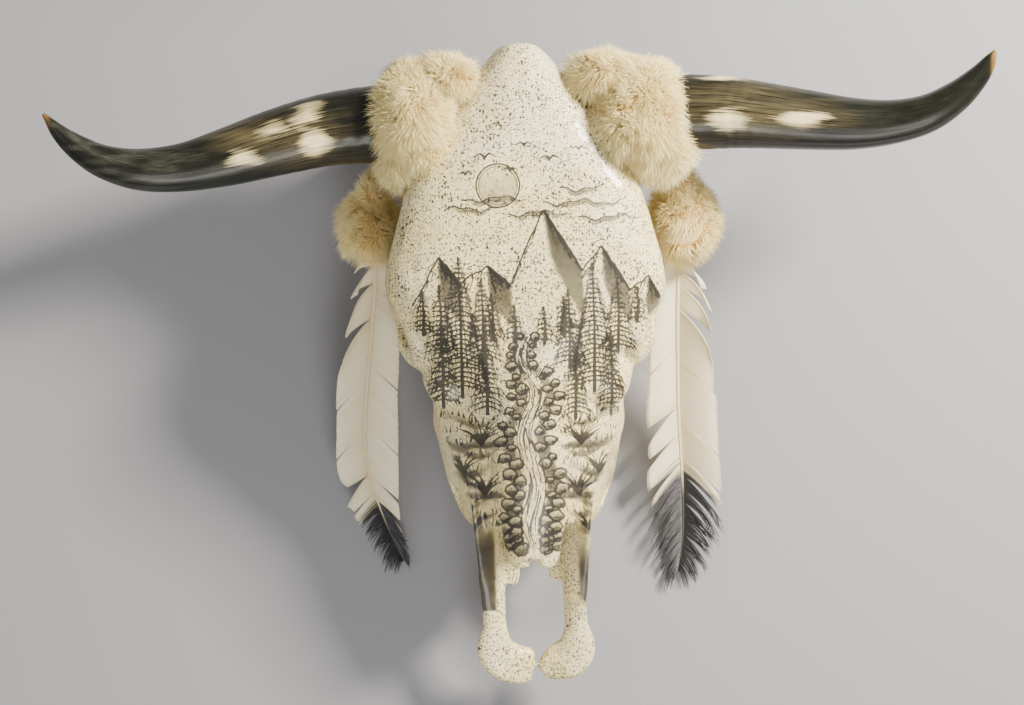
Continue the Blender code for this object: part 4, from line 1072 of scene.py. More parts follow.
# The moon's centre, bars of cloud as y and both ends in x, and birds as x, y and length of a wing.
MOON = (-0.020, 0.1480)
CLOUDS = ((0.1375, -0.050, 0.004), (0.1330, 0.016, 0.082), (0.1300, -0.064, -0.020),
          (0.1205, 0.044, 0.094), (0.1250, -0.012, 0.040), (0.1440, 0.030, 0.066))
BIRDS = ((-0.030, 0.171, 0.0100), (0.002, 0.180, 0.0075), (0.022, 0.168, 0.0090),
         (-0.010, 0.160, 0.0065), (0.046, 0.176, 0.0060), (-0.046, 0.158, 0.0060))

# Mountain tops and the saddles between them, the foot of the shading under them and its depth.
PEAKS = ((-0.092, 0.052), (-0.070, 0.092), (-0.052, 0.070), (-0.030, 0.084), (-0.012, 0.068),
         (0.016, 0.128), (0.046, 0.078), (0.062, 0.098), (0.084, 0.062), (0.100, 0.072), (0.108, 0.058))
RIDGE_FOOT = 0.034
RIDGE_DEPTH = 0.95

# Firs, far ones first: x, foot, top and half width.
FIRS = (
    (-0.084, 0.030, 0.066, 0.010), (-0.028, 0.024, 0.062, 0.010), (0.030, 0.026, 0.058, 0.010),
    (0.090, 0.036, 0.064, 0.009), (0.014, 0.020, 0.050, 0.009), (-0.010, 0.022, 0.052, 0.009),
    (-0.070, 0.012, 0.070, 0.015), (0.074, 0.012, 0.072, 0.015), (-0.036, 0.006, 0.074, 0.016),
    (0.034, 0.000, 0.064, 0.015), (-0.054, -0.022, 0.092, 0.025), (0.054, -0.020, 0.084, 0.022),
    (-0.070, -0.030, 0.040, 0.016), (-0.034, -0.036, 0.030, 0.015), (0.068, -0.040, 0.030, 0.013),
    (0.038, -0.042, 0.022, 0.014),
)

# The middle of the stream from its spring down, and its half widths.
STREAM = ((0.002, 0.030), (-0.006, 0.008), (0.006, -0.020), (-0.004, -0.055), (0.004, -0.095),
          (-0.002, -0.128), (0.001, -0.150))
STREAM_WIDTHS = (0.003, 0.006, 0.008, 0.009, 0.010, 0.010, 0.008)

# Clumps of reeds: root, height and the side that they bend to.
REEDS = (((-0.040, -0.062), 0.030, -1), ((0.042, -0.064), 0.030, 1), ((-0.056, -0.086), 0.028, -1),
         ((0.057, -0.088), 0.026, 1), ((-0.038, -0.104), 0.032, -1), ((0.039, -0.106), 0.032, 1),
         ((-0.048, -0.134), 0.026, -1), ((0.047, -0.136), 0.024, 1))


class Sheet:
    """A sheet of ink over the skull's face, seen from above, that strokes darken."""

    def __init__(self, low, high, pitch):
        self.low, self.pitch = np.array(low), pitch
        self.shape = tuple(np.ceil((np.array(high) - low) / pitch).astype(int) + 1)
        self.ink = np.zeros(self.shape)

    def window(self, near, far):
        """The cells between two corners, and their places."""
        near = np.maximum(np.floor((near - self.low) / self.pitch).astype(int), 0)
        far = np.minimum(np.ceil((far - self.low) / self.pitch).astype(int) + 1, self.shape)
        x = self.low[0] + self.pitch * np.arange(near[0], far[0])[:, None]
        y = self.low[1] + self.pitch * np.arange(near[1], far[1])[None]
        return self.ink[near[0]:far[0], near[1]:far[1]], x, y

    def stroke(self, points, first, last, tone=1.0):
        """A tapering line: ink where the distance to a segment is under the width there."""
        points = np.asarray(points, float)
        widths = np.linspace(first, last, len(points)) / 2
        for a, b, wide, thin in zip(points, points[1:], widths, widths[1:]):
            margin = max(wide, thin) + self.pitch
            area, x, y = self.window(np.minimum(a, b) - margin, np.maximum(a, b) + margin)
            if not area.size:
                continue
            run = b - a
            share = np.clip(((x - a[0]) * run[0] + (y - a[1]) * run[1]) / max(run @ run, 1e-12), 0, 1)
            away = np.hypot(x - a[0] - share * run[0], y - a[1] - share * run[1])
            dark = np.clip(0.5 - (away - wide - (thin - wide) * share) / self.pitch, 0, 1) * tone
            np.maximum(area, dark, out=area)

    def fill(self, outline, tone, top=None, clear=False):
        """Tone inside a closed outline, by counting the edges that a line to the right crosses.
        With top given it fades from tone at the foot to top at the head."""
        outline = np.asarray(outline, float)
        area, x, y = self.window(outline.min(0), outline.max(0))
        if not area.size:
            return
        within = np.zeros(area.shape, bool)
        for a, b in zip(outline, np.roll(outline, -1, 0)):
            if a[1] != b[1]:
                cross = a[0] + (y - a[1]) * (b[0] - a[0]) / (b[1] - a[1])
                within ^= ((a[1] > y) != (b[1] > y)) & (x < cross)
        rise = (y - outline[:, 1].min()) / np.ptp(outline[:, 1])
        shade = tone + ((tone if top is None else top) - tone) * rise + 0 * x
        area[within] = shade[within] if clear else np.maximum(area, shade)[within]

    def soften(self, rounds):
        """A blur by the average of each cell with its neighbours."""
        for _ in range(rounds):
            for axis in (0, 1):
                self.ink = (np.roll(self.ink, 1, axis) + 2 * self.ink + np.roll(self.ink, -1, axis)) / 4

    def at(self, x, y):
        """The ink at places, between cells by their four corners."""
        u = np.clip((x - self.low[0]) / self.pitch, 0, self.shape[0] - 1.001)
        v = np.clip((y - self.low[1]) / self.pitch, 0, self.shape[1] - 1.001)
        i, j = u.astype(int), v.astype(int)
        u, v = u - i, v - j
        return ((1 - u) * (1 - v) * self.ink[i, j] + u * (1 - v) * self.ink[i + 1, j]
                + (1 - u) * v * self.ink[i, j + 1] + u * v * self.ink[i + 1, j + 1])


def draw_conifer(lines, tones, random, x, foot, top, spread):
    """A fir: a trunk, and drooping boughs hung with short needle strokes that lengthen downwards."""
    height = top - foot
    edge = [(x, top)]
    for side in (-1, 1):
        shares = np.linspace(0.0, 0.94, 14)[::side]
        edge += [(x - side * spread * s ** 0.8 * random.uniform(0.72, 0.98), top - height * s)
                 for s in shares]
    tones.fill(edge, 1.0, 0.80)
    lines.stroke([(x, foot), (x + 0.0008, foot + height * 0.5), (x, top)], 0.0030, 0.0008)
    levels = int(height / 0.0040)
    for level in range(levels):
        share = (level + 0.5) / levels
        y = top - height * 0.93 * share
        reach = spread * share ** 0.8
        for way in (-1, 1):
            out = reach * random.uniform(0.75, 1.15)
            droop = random.uniform(0.25, 0.55)
            shares = np.linspace(0, 1, 5)
            bough = np.column_stack([x + way * out * shares,
                                     y - droop * out * shares ** 1.4 + 0.0012 * shares])
            lines.stroke(bough, 0.0013, 0.0006)
            for along in np.arange(0.2, 1.05, 0.0032 / max(out, 0.003)):
                root = np.array([np.interp(along, shares, bough[:, k]) for k in range(2)])
                lean = way * random.uniform(0.1, 0.8)
                length = random.uniform(0.0022, 0.0050) * (0.7 + 0.6 * share)
                lines.stroke([root, root + length * np.array([lean, -1.0])],
                             random.uniform(0.0008, 0.0012), 0.0004, random.uniform(0.75, 1.0))


def draw_ridge(lines, tones, random, peaks, foot, dark):
    """Mountains: a broken skyline, and on the side of each peak that is in shade a tone that fades
    downwards under ragged ribs of rock."""
    peaks = np.array(peaks)
    x = np.linspace(peaks[0, 0], peaks[-1, 0], 200)
    y = np.interp(x, peaks[:, 0], peaks[:, 1])
    y = y + cloud(np.column_stack([x, 0 * x, 0 * x]), 0.0045, 9) * 0.0018
    lines.stroke(np.column_stack([x, y]), 0.0013, 0.0013)
    for start, stop in zip(peaks, peaks[1:]):
        if stop[1] >= start[1]:
            for share in np.arange(0.15, 0.95, 0.16):
                root = start + (stop - start) * share - (0, random.uniform(0.001, 0.004))
                rib = root + np.column_stack([np.linspace(0, 1, 5), -np.linspace(0, 1, 5) ** 0.8]) * (
                    random.uniform(-0.006, -0.002), random.uniform(0.006, 0.016))
                lines.stroke(rib + random.uniform(-0.0006, 0.0006, rib.shape), 0.0010, 0.0005, 0.85)
            continue
        under = np.array([(stop[0] + 0.002, foot), (start[0] - 0.002, foot)])
        spur = start + (stop - start) * 0.35 - (0.006, 0.018)
        tones.fill([start, stop, under[0], spur + (0.004, -0.012), spur], dark * 0.55, dark)
        for share in np.arange(0.04, 0.98, 0.07):
            root = start + (stop - start) * share
            run = random.uniform(0.008, 0.020) * (1.2 - share)
            rib = root + np.column_stack([np.linspace(0, 1, 6) * random.uniform(0.1, 0.5),
                                          -np.linspace(0, 1, 6)]) * run
            lines.stroke(rib + random.uniform(-0.0007, 0.0007, rib.shape), 0.0016, 0.0006, 0.95)


def draw_rock(lines, tones, random, centre, size):
    """A boulder: an uneven ring, bare above and shaded below."""
    angle = np.linspace(0, 2 * math.pi, 11)
    reach = size * (1 + 0.16 * random.standard_normal(11).clip(-1, 1))
    reach[-1] = reach[0]
    ring = centre + np.column_stack([reach * np.cos(angle), 0.78 * reach * np.sin(angle)])
    tones.fill(ring[:-1], 1.0, 0.02, True)
    lines.stroke(ring, 0.0014, 0.0014)
    for level in (-0.55, -0.25):
        wide = size * math.sqrt(1 - level * level)
        y = centre[1] + level * size * 0.78
        left = centre[0] - wide * random.uniform(-0.3, 0.4)
        lines.stroke([(left, y), (centre[0] + wide * 0.85, y + 0.0008)], 0.0010, 0.0005,
                     random.uniform(0.7, 1.0))


def draw_stream(lines, tones, random, spine, half):
    """Falling water: long wavering lines between heaps of boulders on a dark ground."""
    spine = smooth_rows(spine, 90)
    half = np.interp(np.linspace(0, 1, 90), np.linspace(0, 1, len(half)), half)
    bank = half + 0.004 + 0.010 * np.linspace(0, 1, 90)
    for reach, above, below, over in ((bank, 0.78, 0.60, False), (half, 0.05, 0.10, True)):
        aside = np.column_stack([reach, 0 * reach])
        tones.fill(np.vstack([spine - aside, (spine + aside)[::-1]]), above, below, over)
    for lane in np.linspace(-0.85, 0.85, 9):
        start = random.integers(0, 16)
        while start < 84:
            stop = min(start + random.integers(8, 26), 89)
            down = spine[start:stop, 1]
            waver = cloud(np.column_stack([down, 0 * down + lane, 0 * down]), 0.012, 21) * 0.0018
            path = spine[start:stop] + np.column_stack([lane * half[start:stop] + waver, 0 * waver])
            lines.stroke(path, 0.0011, 0.0007, 0.9)
            start = stop + random.integers(2, 7)
    for layer in range(2):
        for way in (-1, 1):
            for step in range(88 - 2 * layer, 0, -5):
                off = half[step] + 0.002 + random.uniform(0.0, 0.002) + layer * 0.0075
                if off < bank[step] + 0.004:
                    size = random.uniform(0.0042, 0.0072) * (0.6 + 0.4 * step / 89)
                    draw_rock(lines, tones, random, spine[step] + (way * off, 0), size)


def draw_meadow(lines, tones, random):
    """Grass on both banks: a soft ground tone in rolling bands, and rows of short blades along them."""
    for way in (-1, 1):
        for row, y in enumerate(np.arange(-0.040, -0.150, -0.0085)):
            inner, outer = 0.026 - 0.02 * min(0, y + 0.1), 0.078 + 0.20 * min(0, y + 0.06)
            x = np.linspace(inner, outer, 24)
            level = y + 0.004 * np.sin(x * 120 + row * 2.1)
            if row % 3 != 1:
                under = level - 0.006 * np.sin(np.linspace(0, math.pi, 24))
                tones.fill(np.vstack([np.column_stack([way * x, level]),
                                      np.column_stack([way * x, under])[::-1]]), 0.75, 0.30)
            for at in np.arange(inner, outer, 0.0021):
                if random.uniform() < 0.62:
                    foot = np.array([way * (at + random.uniform(-0.001, 0.001)), np.interp(at, x, level)])
                    tip = np.array([random.uniform(-0.0022, 0.0022), random.uniform(0.0025, 0.0062)])
                    lines.stroke([foot, foot + tip * (0.3, 0.6), foot + tip], 0.0011, 0.0004,
                                 random.uniform(0.7, 1.0))


def draw_reeds(lines, tones, random, root, reach, way):
    """A clump of reeds: blades that rise from one root and bend over, with a shaded foot."""
    for lean in np.linspace(-0.75, 0.95, 13):
        length = reach * random.uniform(0.55, 1.0) * (1 - 0.35 * abs(lean))
        share = np.linspace(0, 1, 8)
        x = way * length * (lean * share + 0.35 * np.sign(lean + 0.1) * share ** 3)
        y = length * (share - 0.30 * abs(lean) * share ** 2.5)
        lines.stroke(root + np.column_stack([x, y]), 0.0017, 0.0004, random.uniform(0.8, 1.0))
    foot = np.array([(-0.60, -0.02), (-0.20, -0.10), (0.30, -0.10), (0.70, -0.01), (0.25, 0.10),
                     (-0.25, 0.12)])
    tones.fill(root + foot * reach * (way, 1), 0.90, 0.60)


def draw_sky(lines, tones, moon):
    """A low moon with a shaded rim, bars of cloud and a few birds."""
    angle = np.linspace(0, 2 * math.pi, 60)
    for reach, wide in ((0.0175, 0.0013), (0.0155, 0.0007)):
        lines.stroke(moon + reach * np.column_stack([np.cos(angle), np.sin(angle)]), wide, wide)
    tones.fill(moon + 0.0150 * np.column_stack([np.cos(angle), np.sin(angle)]), 0.45, 0.05)
    for y, x0, x1 in CLOUDS:
        x = np.linspace(x0, x1, 26)
        wave = 0.0018 * np.sin(x * 160 + y * 900) + 0.0010 * np.sin(x * 410)
        swell = 0.0035 * np.sin(np.linspace(0, math.pi, 26))
        tones.fill(np.vstack([np.column_stack([x, y + wave]),
                              np.column_stack([x, y + wave - swell])[::-1]]), 0.6)
        lines.stroke(np.column_stack([x, y + wave]), 0.0012, 0.0006, 0.95)
        lines.stroke(np.column_stack([x[4:20], y - 0.0030 + wave[4:20]]), 0.0008, 0.0005, 0.8)
    for x, y, size in BIRDS:
        for way in (-1, 1):
            wing = np.array([(x, y), (x + way * size * 0.35, y + size * 0.34),
                             (x + way * size, y + size * 0.02)])
            lines.stroke(wing, 0.0020, 0.0005)
        lines.stroke([(x, y + 0.0005), (x, y - size * 0.22)], 0.0017, 0.0006)


def drawing():
    """Ink lines and shading of a mountain stream among firs, with a low moon and a few birds."""
    random = np.random.default_rng(77)
    lines, tones = Sheet(*SHEET, LINE_CELL), Sheet(*SHEET, TONE_CELL)
    draw_sky(lines, tones, np.array(MOON))
    draw_ridge(lines, tones, random, PEAKS, RIDGE_FOOT, RIDGE_DEPTH)
    for x, foot, top, spread in FIRS:
        draw_conifer(lines, tones, random, x, foot, top, spread)
    draw_stream(lines, tones, random, STREAM, STREAM_WIDTHS)
    draw_meadow(lines, tones, random)
    for root, reach, way in REEDS:
        draw_reeds(lines, tones, random, np.array(root), reach, way)
    lines.soften(1)
    tones.soften(2)
    return lines, tones


def nose_bands(points):
    """The dark bands painted across the two bars of the nose, with a sharp lower end."""
    x, y = points[:, 0], points[:, 1]
    ragged = cloud(points, 0.0045, 31)
    right = smooth_step(y, -0.2040, -0.2025) * smooth_step(-y, 0.120, 0.150) * smooth_step(-x, 0.030, 0.0345)
    left = smooth_step(y, -0.206, -0.190) * smooth_step(-y, 0.140, 0.170) * smooth_step(x, 0.036, 0.041)
    return np.clip((right + left) * (0.88 + 0.12 * ragged), 0, 1)


def paint_bone(bone, lines, tones):
    """Per point: ink, shading of the drawing, tan stain with painted shade where the bone faces down, and a
    cool cast; then sepia wash and where flecks are few.
    """
    mesh = bone.data
    points, ways = positions(mesh), normals(mesh)
    x, y, z = points.T
    facing = smooth_step(ways[:, 2], 0.06, 0.30) * smooth_step(z, 0.088, 0.105)
    from_socket = np.column_stack([np.abs(x), y, z]) - ORBIT_CENTRE
    facing = facing * smooth_step(np.linalg.norm(from_socket, axis=1), 0.034, 0.038)
    ink = lines.at(x, y) * facing
    tone = tones.at(x, y) * facing
    band = nose_bands(points)
    patch = np.exp(-(((x - 0.071) / 0.013) ** 2 + ((y + 0.088) / 0.034) ** 2))
    patch += 0.25 * cloud(points, 0.006, 44)
    rocky = smooth_step(patch, 0.45, 0.75) * smooth_step(z, 0.03, 0.06)
    tone = np.maximum(tone, 0.90 * band)
    sepia = 0.65 * smooth_step(tone, 0.1, 0.9) * (0.8 + 0.4 * cloud(points, 0.008, 41))
    wash = 0.55 * rocky + np.clip(sepia + 0.85 * band, 0, 1)
    low = smooth_step(-y, 0.02, 0.16) * (0.50 + 0.50 * cloud(points, 0.018, 42))
    edge = smooth_step(np.abs(x), 0.085, 0.112) * smooth_step(y, 0.02, 0.06) * smooth_step(-y, -0.12, -0.05)
    stain = 0.28 * low + 0.5 * edge * (0.6 + 0.4 * cloud(points, 0.010, 43))
    stain += 0.40 * smooth_step(cloud(points, 0.022, 45), 0.1, 0.8)
    # Painted shade: the tan of the stain channel grows where the bone faces down, under the skull.
    hollow = smooth_step(-ways[:, 2], -0.1, 0.6) * 0.35
    cool = smooth_step(y, 0.12, 0.22) * 0.40 + 0.25 * smooth_step(cloud(points, 0.03, 46), 0.1, 0.7)
    dull = 0.12 * smooth_step(-y, -0.02, 0.06) * smooth_step(y, -0.16, -0.11)
    paint(mesh, "paint", np.clip(np.column_stack([ink, tone, stain + hollow, cool]), 0, 1))
    paint(mesh, "tint", np.clip(np.column_stack([wash, dull]), 0, 1))


def tooth_rings(centre, length, width, lobes, root, tip):
    """An upright prism, rounded, with a waist where it has two lobes and a hollow worn crown."""
    angle = np.linspace(0, 2 * math.pi, 40, endpoint=False)
    along = length / 2 * signed_power(np.cos(angle), 0.5)
    waist = 1 - (0.20 * np.exp(-(np.cos(angle) / 0.35) ** 2) if lobes == 2 else 0)
    across = width / 2 * signed_power(np.sin(angle), 0.6) * waist
    levels = np.array([(root, 0.92), (root * 0.6 + tip * 0.4, 0.98), (tip + 0.004, 1.0), (tip + 0.0012, 0.97),
                       (tip, 0.90), (tip, 0.60), (tip + 0.0012, 0.40)])
    return np.stack([centre[0] + across * levels[:, 1:], centre[1] + along * levels[:, 1:],
                     levels[:, :1] + 0 * across], -1)


def teeth_shells(sign):
    """The cheek teeth of one side, whose biting ends rise off the table towards the nose."""
    front, back = np.array(TOOTH_ROW_FRONT), np.array(TOOTH_ROW_BACK)
    whole = sum(length for length, _, _ in TEETH)
    scale = np.linalg.norm(back - front) / whole
    shells, done = [], 0.0
    for length, width, lobes in TEETH:
        middle = front + (back - front) * (done + length / 2) / whole
        done += length
        rise = max(0.0, BITE_RISE * (back[1] - TEETH[-1][0] - middle[1]))
        shells.append(tooth_rings((middle[0] * sign, middle[1]), length * scale - TOOTH_GAP, width, lobes,
                                  TOOTH_ROOT_Z + rise * 0.6, rise))
    return shells


# Horns

# Heights of the fine ridges, of the broad swellings and of the growth rings of a horn.
RIDGE_HEIGHT = 0.00022
SWELLING_HEIGHT = 0.0006
GROWTH_HEIGHT = 0.00018

# Pale patches and brown mottle of each horn: x outwards and y of the centre, half length, half
# width, lean and strength.
PALE_PATCHES = {
    "left": ((0.166, 0.197, 0.020, 0.0120, 0.0, 1.0), (0.228, 0.194, 0.025, 0.0100, 0.0, 1.0),
             (0.166, 0.232, 0.024, 0.0060, 0.0, 0.85)),
    "right": ((0.224, 0.177, 0.021, 0.0080, 0.0, 1.0), (0.167, 0.187, 0.019, 0.0125, 0.0, 1.0),
              (0.172, 0.212, 0.020, 0.0130, -0.3, 0.75), (0.200, 0.198, 0.020, 0.0120, 0.0, 0.60)),
}
BROWN_PATCHES = {
    "left": ((0.205, 0.197, 0.060, 0.017, 0.0, 1.0), (0.170, 0.205, 0.070, 0.030, 0.0, 0.8)),
    "right": ((0.222, 0.195, 0.045, 0.017, 0.0, 1.0), (0.180, 0.190, 0.060, 0.030, 0.0, 0.8)),
}
AMBER_FROM = {"left": (0.3765, 0.3820), "right": (0.3755, 0.3825)}

# Chalky streaks of each horn: the stretch of x over which they come in, how sparse they are, and
# their strength.
CHALK_STREAKS = {"left": (0.14, 0.22, 0.3, 0.15), "right": (0.21, 0.33, 0.2, 1.0)}
HORN_SEEDS = {"left": 61, "right": 62}


def horn_surface(side, steps, sides):
    """A curved cone with low growth rings near its root and fine ridges along it."""
    rows = [(x, y, z, r, r * HORN_DEPTH, 0) for x, y, z, r in HORNS[side]]
    rings = sweep_rings(rows, steps, SIDES[side], sides)
    middle = rings.mean(1, keepdims=True)
    away = unit(rings - middle)
    share = np.linspace(0, 1, steps)[:, None]
    angle = np.linspace(0, 1, sides, endpoint=False)[None]
    place = np.stack([share * 2.2 + 0 * angle, np.cos(angle * 2 * math.pi) * 3 + 0 * share,
                      np.sin(angle * 2 * math.pi) * 3 + 0 * share], -1)
    ridges = RIDGE_HEIGHT * cloud(place * (1, 4, 4), 1.0, 51) + SWELLING_HEIGHT * cloud(place, 1.0, 52)
    waves = np.sin(share * 190 + 3 * cloud(place, 2.0, 53))
    growth = GROWTH_HEIGHT * waves * smooth_step(0.45 - share, 0, 0.4)
    fade = smooth_step(1 - share, 0.0, 0.08)
    return rings + away * ((ridges + growth) * fade)[..., None], share + 0 * angle, angle + 0 * share


def horn_marks(side, points):
    """Per point: pale patches, amber tip, brown mottle and chalky streaks, by place on the horn."""
    x, y = np.abs(points[:, 0]), points[:, 1]
    ragged = cloud(points * (0.25, 1.6, 1.6), 0.006, HORN_SEEDS[side])

    def patches(table):
        """The strongest of a table's oval patches at each point, with ragged edges."""
        strengths = []
        for cx, cy, wide, tall, lean, depth in table:
            u, v = (x - cx) / wide, (y - cy - lean * (x - cx)) / tall
            strengths.append(depth * (1.15 - np.sqrt(u * u + v * v) + 0.35 * ragged))
        return np.max(strengths, axis=0)

    near, far, sparse, depth = CHALK_STREAKS[side]
    chalk = depth * smooth_step(x, near, far) * smooth_step(0.5 + ragged, sparse, 0.9)
    above = smooth_step(points[:, 2] - 0.150, -0.02, 0.0)
    return np.clip(np.column_stack([patches(PALE_PATCHES[side]) * above, smooth_step(x, *AMBER_FROM[side]),
                                    0.8 * patches(BROWN_PATCHES[side]), 0.8 * chalk]), 0, 1)


# Fur

TUFT_STATIONS = np.array([0.0, 0.38, 0.74, 1.0])
TUFT_WIDTHS = np.array([1.0, 0.82, 0.46, 0.0])
TUFT_POINTS = 10
HAIR_WIDTHS = (0.00018, 0.00036)
HAIR_LIE = (0, -0.12, 0.0)
HAIR_DROOP = (0, -0.28, -0.34)
SPARE_ROOTS = 2.2
PELT_SHARE = 0.98


def tufts(roots, ways, falls, lengths, widths, random):
    """Thin three-sided spikes: root + way times length times s + fall times s squared, s from 0 to 1."""
    count = len(roots)
    share = TUFT_STATIONS[None, :, None]
    centre = roots[:, None] + (ways * lengths[:, None])[:, None] * share + falls[:, None] * share ** 2
    ahead = unit(ways * lengths[:, None] + falls)
    across = unit(np.cross(ahead, unit(random.standard_normal((count, 3)))))
    up = np.cross(ahead, across)
    angle = np.arange(3) * 2 * math.pi / 3
    ring = (np.cos(angle)[:, None] * across[:, None] + np.sin(angle)[:, None] * up[:, None])
    body = centre[:, :3, None] + ring[:, None] * (widths[:, None] * TUFT_WIDTHS[:3])[..., None, None]
    points = np.concatenate([body.reshape(count, 9, 3), centre[:, 3:]], 1)
    faces = []
    for level in range(2):
        for k in range(3):
            a, b = level * 3 + k, level * 3 + (k + 1) % 3
            faces += [(a, b, b + 3), (a, b + 3, a + 3)]
    faces += [(6, 7, 9), (7, 8, 9), (8, 6, 9), (2, 1, 0)]
    faces = np.array(faces)[None] + (np.arange(count) * TUFT_POINTS)[:, None, None]
    along = np.concatenate([np.repeat(TUFT_STATIONS[:3], 3), [1.0]])
    return points.reshape(-1, 3), faces.reshape(-1, 3), along


def ball_points(count, seed):
    """Points spread evenly over a ball: heights in equal steps, turned by the golden angle."""
    random = np.random.default_rng(seed)
    step = np.arange(count) + 0.5
    height = 1 - 2 * step / count
    around = step * math.pi * (3 - math.sqrt(5)) + random.uniform(-0.3, 0.3, count)
    level = np.sqrt(1 - height ** 2)
    return np.column_stack([height, level * np.cos(around), level * np.sin(around)])


def inside(tree, point):
    """Whether a point lies inside a closed skin or just over it."""
    place, normal, _, _ = tree.find_nearest(point)
    return (Vector(point) - place).dot(normal) < 0.0004


def covered(points, balls):
    """Which points lie inside one of the balls."""
    within = np.zeros(len(points), bool)
    for centre, radii in balls:
        within |= (((points - centre) / radii) ** 2).sum(-1) < 1
    return within


def fur_roots(balls, sign, count, solids, seed):
    """Where hairs leave the balls: places, directions outwards and places on their unwrap."""
    roots, out, home = [], [], []
    sizes = np.array([np.prod(radii) ** (2 / 3) for _, radii in balls])
    for k, (centre, radii) in enumerate(balls):
        way = ball_points(int(count * sizes[k] / sizes.sum()), seed + k)
        place = (np.array(centre) + way * radii) * (sign, 1, 1)
        others = [(np.array(c) * (sign, 1, 1), r) for j, (c, r) in enumerate(balls) if j != k]
        keep = ~covered(place, others)
        keep &= np.array([not any(inside(tree, one) for tree in solids) for one in place])
        roots.append(place[keep])
        out.append(unit(way * (sign, 1, 1) / radii)[keep])
        around = np.arctan2(way[:, 2], way[:, 1]) / (2 * math.pi) + 0.5
        home.append(np.column_stack([(around * 0.97 + k) / len(balls), way[:, 0] * 0.49 + 0.5])[keep])
    return np.vstack(roots), np.vstack(out), np.vstack(home)


def fur_coat(name, balls, sign, count, length, solids, seed):
    """Hair on stuffed balls: it stands out, leans along the lie, and bunches by smooth noise."""
    roots, out, home = fur_roots(balls, sign, int(count * SPARE_ROOTS), solids, seed)
    random = np.random.default_rng(seed)
    chosen = random.permutation(len(roots))[:count]
    roots, out, home = roots[chosen], out[chosen], home[chosen]
    bunch = np.column_stack([cloud(roots, 0.013, seed + k) for k in range(3)])
    fine = np.column_stack([cloud(roots, 0.0045, seed + 5 + k) for k in range(3)])
    stray = random.standard_normal(roots.shape)
    lean = unit(out + 0.55 * bunch + 0.35 * fine + 0.15 * stray + np.array(HAIR_LIE))
    lean = unit(lean + out * np.clip(0.15 - (lean * out).sum(-1, keepdims=True), 0, None) * 2)
    size = length * (0.85 + 0.25 * cloud(roots, 0.015, seed + 9)) * random.uniform(0.70, 1.12, len(roots))
    fall = (np.array(HAIR_DROOP) + 0.38 * bunch + 0.20 * fine + 0.10 * stray) * size[:, None]
    wide = random.uniform(*HAIR_WIDTHS, len(roots))
    points, faces, along = tufts(roots, lean, fall, size, wide, random)
    points[:, 2] = np.maximum(points[:, 2], FLOOR + 0.0005)
    mesh = mesh_of(name, points, faces)
    tone = np.clip(0.5 + 0.4 * cloud(roots, 0.014, seed + 12) + 0.3 * random.uniform(-1, 1, len(roots)), 0, 1)
    clump = np.clip(0.5 + 0.5 * bunch[:, 0], 0, 1)
    paint(mesh, "hair", np.column_stack([np.repeat(tone, TUFT_POINTS), np.tile(along, len(roots)),
                                         np.repeat(clump, TUFT_POINTS)]))
    corner = np.column_stack([np.tile([0, 1, 0.5], 3), np.repeat([0, 0.4, 0.8], 3)])
    corner = np.vstack([corner, (0.5, 1.0)]) * 0.003
    corner_map(mesh, "OFBake", (home[:, None] + corner[None]).reshape(-1, 2))
    return object_of(name, mesh)


def pelt(name, balls, sign):
    """The balls under the hair, with a lumpy skin."""
    shells = []
    for centre, radii in balls:
        rings = ellipsoid_rings(centre, np.array(radii) * PELT_SHARE, sign, None, 40, 60)
        middle = np.array(centre) * (sign, 1, 1)
        shells.append(middle + (rings - middle) * (1 + 0.04 * cloud(rings, 0.008, 71))[..., None])
    return shells_object(name, shells)


# Feathers

def feather_path(side, count):
    """The line of a quill, and the widths of its vane towards the skull and away from it."""
    rows = smooth_rows(FEATHERS[side], count)
    path = rows[:, :3] * (SIDES[side], 1, 1)
    return path, rows[:, 3], rows[:, 4]


